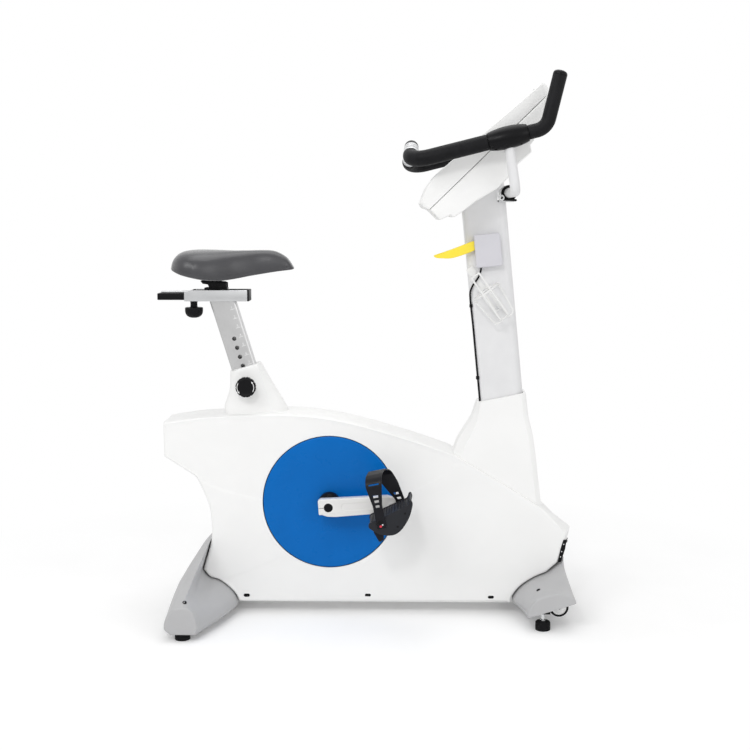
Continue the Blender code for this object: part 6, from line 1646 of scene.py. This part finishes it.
def pulse_sensors():
    """Moulded sleeve on the cross tube, with bright contact bands on its two risers."""
    path = from_start(from_start(cross_path(), GAP)[::-1], GAP)
    piece("sensor_sleeve", tube(*softened(path, 0.0184, 0.001), 40), "black_nylon", "bars",
          "pulse_sensor_bar")
    bands = bmesh.new()
    for line in (path, path[::-1]):
        ahead = (line[1] - line[0]).normalized()
        for start, length in ((0.0015, 0.0185), (0.023, 0.0125), (0.0385, 0.0115)):
            tube(*softened([line[0] + ahead * start, line[0] + ahead * (start + length)], 0.019, 0.0007), 40,
                 maker=bands)
    piece("sensor_bands", bands, "brushed_rail", "bars")


def pivot_bracket():
    """Split clamp that holds the stems' cross tube on top of the mast."""
    body = bmesh.new()
    x, z = PIVOT
    bore = (0.0134, -0.05, 0.05, across(PIVOT, 0), (0, 1, 0), 48)
    moulding(oblong(0.0435, 0.068, 0.003, 4, (0.37625, 0)), 1.1263, 1.1313, 0.001, along_z, 3, body)
    arc = [(x + 0.0208 * cos(t), z + 0.0208 * sin(t))
           for t in [radians(-38 + 256 * k / 40) for k in range(41)]]
    moulding(arc + [(x - 0.016, 1.13), (x + 0.0145, 1.13)], -0.03, 0.03, 0.0014, steps=3, maker=body)
    clamp = piece("pivot_clamp", body, "bright_steel", "frame", "pivot_bracket")
    tools = [rod(*bore), block((x + 0.005, -0.05, z - 0.0008), (x + 0.03, 0.05, z + 0.0008)),
             block((x - 0.05, -0.0045, z - 0.013), (x + 0.05, 0.0045, z + 0.03))]
    carve(clamp, tools)
    cheeks = bmesh.new()
    for low, high in ((-0.034, -0.0303), (0.0303, 0.034)):
        moulding(circle(0.021, 48, PIVOT), low, high, 0.0008, steps=2, maker=cheeks)
    cheeks = piece("pivot_cheeks", cheeks, "black_nylon", "frame")
    carve(cheeks, [rod(*bore)])


def pivot_lever():
    x, z = 0.362, 1.137
    shape = [(x - 0.004, z - 0.006), (x + 0.01, z - 0.0075), (0.4, 1.1275), (0.404, 1.1305), (0.401, 1.1335),
             (x + 0.012, z - 0.001), (x, z + 0.006)]
    arm = moulding(rounded_outline(shape, 0.002, 3), -0.038, -0.047, 0.0012, steps=3)
    piece("pivot_lever_arm", arm, "black_nylon", "lever", "pivot_lever")
    hub = lathe([(0, 0.0343), (0.0078, 0.0343), (0.008, 0.035), (0.008, 0.0472), (0.0072, 0.048),
                 (0.0036, 0.048), (0.0036, 0.0466), (0, 0.0466)], (x, 0, z), (0, -1, 0), 40)
    piece("pivot_lever_hub", hub, "bright_steel", "lever")


class ERGOMETER_OT_handlebar(bpy.types.Operator):
    """Handlebar, foam grips, barrel covers, pulse sensors and the pivot clamp"""
    bl_idname = "ergometer.handlebar"
    bl_label = "Handlebar"

    def execute(self, context):
        bars()
        for label, side in SIDES:
            horn_grip(label, side)
            bar_grip(label, side)
            clamp_cover(label, side)
        pulse_sensors()
        pivot_bracket()
        pivot_lever()
        return {"FINISHED"}


# Module box, lead, bottle cage and mains inlet

MODULE = (0.327, 0.998)
PADDLE = [
    (0.2965, 1.004), (0.2965, 1.017), (0.2885, 1.0225), (0.262, 1.013), (0.239, 1.004), (0.208, 0.993),
    (0.1845, 0.985), (0.183, 0.981), (0.19, 0.9775), (0.204, 0.9765), (0.228, 0.9765), (0.256, 0.984),
    (0.2885, 0.9965)]
PADDLE_HINGE = (0.292, 1.01)
LEAD_ROUTE = [
    (0.3095, -0.046, 0.9514), (0.3087, -0.046, 0.944), (0.304, -0.045, 0.928), (0.293, -0.0425, 0.911),
    (0.286, -0.039, 0.899), (0.2815, -0.035, 0.884), (0.282, -0.031, 0.868), (0.2842, LEAD_Y, 0.845)]
CAGE_AT = (0.33, -0.0765, 0.877)
CAGE_DOWN = (0.58, -0.8146)
CAGE_R = 0.0385
WIRE_R = 0.0028
ROCKER_UP = 0.0145
INLET_AT = Vector((0.5437, -0.034, 0.178))
INLET_ACROSS = Vector((0.018, 0.069, 0.0)).normalized()
INLET_OUT = INLET_ACROSS.cross(Vector((0.019, 0.0, 0.062))).normalized()
INLET_UP = INLET_OUT.cross(INLET_ACROSS)


def module_box():
    """Small moulded box on the side of the mast, in two shells, with a slot for its paddle."""
    plan = []
    for a, u in oblong(0.07, 0.088, 0.007, 6):
        plan.append((MODULE[0] + a * cos(MAST_TILT) - u * sin(MAST_TILT),
                     MODULE[1] + a * sin(MAST_TILT) + u * cos(MAST_TILT)))
    steps = ((0.0353, 0.0009), (0.0359, 0.0003), (0.0437, 0.0003), (0.044, 0.0012), (0.0444, 0.0012),
             (0.0447, 0.0), (0.0585, 0.0), (0.0598, 0.0004), (0.0607, 0.0013), (0.0613, 0.0028))
    body = loft([[(x, -level, z) for x, z in inset(plan, draw)] for level, draw in steps])
    box = piece("module_case", body, "lavender_grey_abs", "frame", "module_box")
    carve(box, [block((0.262, -0.0565, 0.9915), (0.2995, -0.0385, 1.0275))])
    pin = rod(0.0022, 0.0385, 0.0565, across(PADDLE_HINGE, 0), (0, -1, 0), 24)
    piece("module_pin", pin, "bright_steel", "frame")
    gland = lathe([(0, 0), (0.0048, 0.0), (0.0048, 0.003), (0.004, 0.004), (0, 0.004)],
                  (0.3092, -0.046, 0.9545), (0.06, 0, -1), 32)
    piece("module_gland", gland, "black_nylon", "frame")


def module_paddle():
    outline = chain([PADDLE[1:8], PADDLE[7:13] + [PADDLE[0]], [PADDLE[0], PADDLE[1]]], 4)
    made = piece("paddle_blade", moulding(outline, -0.04, -0.055, 0.0018, steps=4), "yellow_abs", "paddle",
                 "module_paddle")
    carve(made, [rod(0.0026, -0.07, -0.03, across(PADDLE_HINGE, 0), (0, 1, 0), 24)])


def module_lead():
    """Lead from the box down the mast's rear edge, and its two clips."""
    path = spline(LEAD_ROUTE, 5)
    for height in (0.8, 0.72, 0.65, 0.575):
        path.append(Vector((mast_rear(height) - GAP, LEAD_Y, height)))
    piece("module_lead", tube(path, 0.0025, 16), "black_rubber", "frame", "module_cable")
    for k, height in enumerate((0.848, 0.652)):
        x = mast_rear(height) - GAP
        clip = moulding(oblong(0.0088, 0.009, 0.003, 5, (x - 0.0004, LEAD_Y)), height - 0.0045,
                        height + 0.0045, 0.001, along_z, 3)
        piece(f"lead_clip_{k}", clip, "black_nylon", "frame")


def in_cage(down, aside, out):
    """Point from a distance down the bottle, aside of it and away from the mast."""
    return Vector((CAGE_AT[0] + CAGE_DOWN[0] * down - CAGE_DOWN[1] * aside, CAGE_AT[1] - out,
                   CAGE_AT[2] + CAGE_DOWN[1] * down + CAGE_DOWN[0] * aside))


def bottle_cage():
    """Coated wire cage on a slotted plate screwed to the mast."""
    near, back = 0.0353, 0.0383
    plan = [
        (-0.024, -0.016), (0.05, -0.016), (0.05, 0.016), (-0.024, 0.016), (-0.03, 0.006), (-0.068, 0.006),
        (-0.068, 0.011), (-0.09, 0.011), (-0.09, -0.011), (-0.068, -0.011), (-0.068, -0.006), (-0.03, -0.006)]

    def on_plate(down, aside, level):
        spot = in_cage(down, aside, 0)
        return (spot.x, -level, spot.z)

    plate = moulding(rounded_outline(plan, 0.0025, 3), near, back, 0.0005, on_plate, 2)
    plate = piece("cage_plate", plate, "white_coated_wire", "frame", "bottle_cage")
    slot = moulding(
        oblong(0.044, 0.0075, 0.0036, 6, (0.016, 0)), near - 0.002, back + 0.002, 0.0, on_plate, 1)
    carve(plate, [slot])
    screws = bmesh.new()
    for down in (-0.015, 0.043):
        spot = in_cage(down, 0, 0)
        lathe([(0, back), (0.0048, back), (0.005, back + 0.0008), (0.0044, back + 0.002),
               (0.0024, back + 0.0024), (0.0018, back + 0.0012), (0, back + 0.0012)], (spot.x, 0, spot.z),
              (0, -1, 0), 32, screws)
    piece("cage_screws", screws, "bright_steel", "frame")
    wires = bmesh.new()
    middle = -CAGE_AT[1] - back
    hoop = [in_cage(-0.015, aside, out) for aside, out in circle(CAGE_R, 64)]
    tube(hoop, WIRE_R, 16, wires, closed=True)
    for _, way in SIDES:
        aside = way * 0.012
        rail = rounded(
            [in_cage(-0.069, aside, CAGE_R - 0.001), in_cage(0.07, aside, CAGE_R - 0.001),
             in_cage(0.07, aside, -middle + 0.0005), in_cage(0.03, aside, -middle + 0.0005)], (0.018, 0.012),
            8)
        tube(rail, WIRE_R, 16, wires)
        side_wire = rounded([in_cage(-0.015, way * CAGE_R, 0), in_cage(0.074, way * 0.03, 0),
                             in_cage(0.074, way * 0.008, 0)], (0.012,), 8)
        tube(side_wire, WIRE_R * 0.9, 16, wires)
    tube([in_cage(-0.069, -0.0125, CAGE_R - 0.001), in_cage(-0.069, 0.0125, CAGE_R - 0.001)], WIRE_R * 0.95,
         16, wires)
    tube([in_cage(0.0705, -0.0125, 0.0), in_cage(0.0705, 0.0125, 0.0)], WIRE_R * 0.9, 16, wires)
    piece("cage_wires", wires, "white_coated_wire", "frame")


def at_inlet(aside, up, out):
    return INLET_AT + INLET_ACROSS * aside + INLET_UP * up + INLET_OUT * out


def inlet():
    """Mains inlet on the nose: pale rim, black panel with its socket and pins, and the rocker."""
    plan = oblong(0.039, 0.058, 0.0035, 5, (0, -0.001))
    panel_made = piece("inlet_plate", moulding(plan, 0.0003, 0.0042, 0.001, at_inlet, 3), "black_nylon",
                       "frame", "inlet_panel")
    socket = [(-0.0135, -0.024), (0.0135, -0.024), (0.0135, -0.006), (0.0095, -0.002), (-0.0095, -0.002),
              (-0.0135, -0.006)]
    hole = oblong(0.0214, 0.0156, 0.0012, 3, (0, ROCKER_UP))
    carve(panel_made, [moulding(socket, 0.0012, 0.01, 0.0, at_inlet, 1),
                       moulding(hole, 0.001, 0.01, 0.0, at_inlet, 1)])
    pins = bmesh.new()
    for aside, up in ((-0.0068, -0.015), (0.0068, -0.015), (0, -0.01)):
        moulding(oblong(0.0018, 0.004, 0.0004, 2, (aside, up)), 0.0008, 0.0038, 0.0002, at_inlet, 1, pins)
    piece("inlet_pins", pins, "bright_steel", "frame")
    rim = oblong(0.0412, 0.0602, 0.0042, 5, (0, -0.001))
    piece("inlet_rim", moulding(rim, 0.0, 0.0022, 0.0008, at_inlet, 2), "white_abs", "frame")
    wing = [(0.5395, 0.212), (0.5485, 0.212), (0.545, 0.187), (0.534, 0.151), (0.5262, 0.151),
            (0.5322, 0.187)]
    piece("inlet_flange", moulding(wing, -0.07, -0.0771, 0.0006, steps=2), "black_nylon", "frame")
    ends = bmesh.new()
    for x, z in ((0.5352, 0.18), (0.5322, 0.165), (0.5405, 0.2)):
        lathe([(0, 0.0768), (0.0017, 0.0768), (0.0017, 0.0775), (0.0012, 0.0778), (0, 0.0778)], (x, 0, z),
              (0, -1, 0), 16, ends)
    piece("inlet_flange_screws", ends, "bright_steel", "frame")
    tip = [(-0.0085, 0.0022), (-0.0045, 0.0042), (0, 0.0046), (0.0045, 0.0048), (0.0085, 0.0066)]
    rocker = bmesh.new()
    rows = []
    for up, out in tip:
        rows.append([at_inlet(a, ROCKER_UP + up, level)
                     for a, level in ((-0.01, 0.0016), (0.01, 0.0016), (0.01, out), (-0.01, out))])
    loft(rows, maker=rocker)
    piece("rocker_key", rocker, "black_nylon", "rocker", "rocker_switch", bevel=0.0004)
    marks = bmesh.new()
    corners = ((-0.0006, -0.0075), (0.0006, -0.0075), (0.0006, -0.004), (-0.0006, -0.004))
    sheet(marks, [at_inlet(a, ROCKER_UP + b, 0.0044) for a, b in corners])
    piece("rocker_mark", marks, "white_ink", "rocker")


class ERGOMETER_OT_fittings(bpy.types.Operator):
    """Module box with its paddle and lead, bottle cage and mains inlet"""
    bl_idname = "ergometer.fittings"
    bl_label = "Fittings"

    def execute(self, context):
        module_box()
        module_paddle()
        module_lead()
        bottle_cage()
        inlet()
        return {"FINISHED"}


# Stage

WHITE = (*linear("#FFFFFF"), 1.0)
# Name, place, power and width of each lamp
LAMPS = (("key", (-2.0, -2.6, 2.9), 26.0, 1.6), ("front", (-0.5, -2.9, 2.35), 14.0, 0.4),
         ("fill", (2.4, -2.4, 1.8), 12.0, 1.8), ("top", (0.1, 0.3, 3.4), 26.0, 2.2))


class ERGOMETER_OT_stage(bpy.types.Operator):
    """Floor, soft lamps, world and the camera"""
    bl_idname = "ergometer.stage"
    bl_label = "Stage"

    def execute(self, context):
        scene = context.scene
        scene.view_settings.view_transform = "Standard"
        camera = shown("camera", bpy.data.cameras.new("camera"))
        camera.location = (0.085, -3.41, 1.0913)
        camera.rotation_euler = (radians(82.71), 0.0, radians(1.02))
        camera.data.lens = 60.0
        camera.data.sensor_width = 36.0
        scene.camera = camera

        world = bpy.data.worlds.new("studio")
        scene.world = world
        world.use_nodes = True
        tree = world.node_tree
        tree.nodes.clear()
        rays = add(tree, "ShaderNodeLightPath")
        seen = add(
            tree, "ShaderNodeMath", {0: rays.outputs["Is Camera Ray"], 1: rays.outputs["Is Glossy Ray"]},
            operation="MAXIMUM")
        seen = add(tree, "ShaderNodeMath", {0: seen.outputs[0], 1: rays.outputs["Is Transmission Ray"]},
                   operation="MAXIMUM")
        light = add(tree, "ShaderNodeBackground", {"Color": WHITE, "Strength": 0.64})
        backdrop = add(tree, "ShaderNodeBackground", {"Color": WHITE, "Strength": 1.0})
        both = add(tree, "ShaderNodeMixShader",
                   {0: seen.outputs[0], 1: light.outputs[0], 2: backdrop.outputs[0]})
        add(tree, "ShaderNodeOutputWorld", {"Surface": both.outputs[0]})

        for name, at, power, width in LAMPS:
            lamp = shown(name, bpy.data.lights.new(name, "AREA"))
            lamp.data.energy = power
            lamp.data.size = width
            lamp.location = at
            aim = Vector((0.0, 0.0, 0.65)) - Vector(at)
            lamp.rotation_euler = aim.to_track_quat("-Z", "Y").to_euler()

        maker = bmesh.new()
        bmesh.ops.create_grid(maker, x_segments=1, y_segments=1, size=14.0)
        floor = meshed("floor", maker)
        floor.data.materials.append(studio_floor())
        return {"FINISHED"}


def studio_floor():
    """Painted studio floor: matt white that holds a soft shadow near the machine and runs out to white."""
    look, tree, place = started("matt_white_floor")
    grain = add(tree, "ShaderNodeTexNoise", {"Vector": place, "Scale": per(400),
                                             "Detail": 3}).outputs["Fac"]
    white = add(
        tree, "ShaderNodeValToRGB", {"Fac": grain}, ((0.35, linear("#F6F6F6")), (0.65, linear("#FAFAFA"))))
    paint = add(tree, "ShaderNodeBsdfDiffuse", {"Color": white.outputs["Color"]})
    rays = add(tree, "ShaderNodeLightPath")
    lift = add(tree, "ShaderNodeMath", {0: rays.outputs["Is Camera Ray"], 1: 0.11}, operation="MULTIPLY")
    glow = add(tree, "ShaderNodeEmission", {"Color": WHITE, "Strength": lift.outputs[0]})
    paint = add(tree, "ShaderNodeAddShader", {0: paint.outputs[0], 1: glow.outputs[0]})
    reach = add(tree, "ShaderNodeVectorMath", {0: place}, operation="LENGTH").outputs["Value"]
    far = add(tree, "ShaderNodeMapRange", {"Value": reach, "From Min": 0.62, "From Max": 1.5}, clamp=True)
    seen = add(tree, "ShaderNodeMath", {0: far.outputs["Result"], 1: rays.outputs["Is Camera Ray"]},
               operation="MULTIPLY")
    white = add(tree, "ShaderNodeEmission", {"Color": WHITE, "Strength": 1.0})
    both = add(tree, "ShaderNodeMixShader", {0: seen.outputs[0], 1: paint.outputs[0], 2: white.outputs[0]})
    add(tree, "ShaderNodeOutputMaterial", {"Surface": both.outputs[0]})
    return look


class ERGOMETER_PT_panel(bpy.types.Panel):
    """Lists the steps that build the ergometer"""
    bl_idname = "ERGOMETER_PT_panel"
    bl_label = "Ergometer"
    bl_space_type = "VIEW_3D"
    bl_region_type = "UI"
    bl_category = "Ergometer"

    def draw(self, context):
        for group in (context.scene.ergometer_colours, context.scene.ergometer_sizes):
            box = self.layout.box()
            for name in group.__annotations__:
                box.prop(group, name)
        for step in STEPS:
            self.layout.operator(step.bl_idname)


STEPS = (ERGOMETER_OT_stage, ERGOMETER_OT_finishes, ERGOMETER_OT_casing, ERGOMETER_OT_feet,
         ERGOMETER_OT_drive, ERGOMETER_OT_pedals, ERGOMETER_OT_seat, ERGOMETER_OT_console,
         ERGOMETER_OT_handlebar, ERGOMETER_OT_fittings)
CLASSES = (ErgometerColours, ErgometerSizes) + STEPS + (ERGOMETER_PT_panel,)


def register():
    for made in CLASSES:
        bpy.utils.register_class(made)
    bpy.types.Scene.ergometer_colours = bpy.props.PointerProperty(type=ErgometerColours)
    bpy.types.Scene.ergometer_sizes = bpy.props.PointerProperty(type=ErgometerSizes)


def unregister():
    del bpy.types.Scene.ergometer_sizes
    del bpy.types.Scene.ergometer_colours
    for made in reversed(CLASSES):
        bpy.utils.unregister_class(made)


def main():
    register()
    for step in STEPS:
        group, name = step.bl_idname.split(".")
        getattr(getattr(bpy.ops, group), name)()


if __name__ == "__main__":
    main()
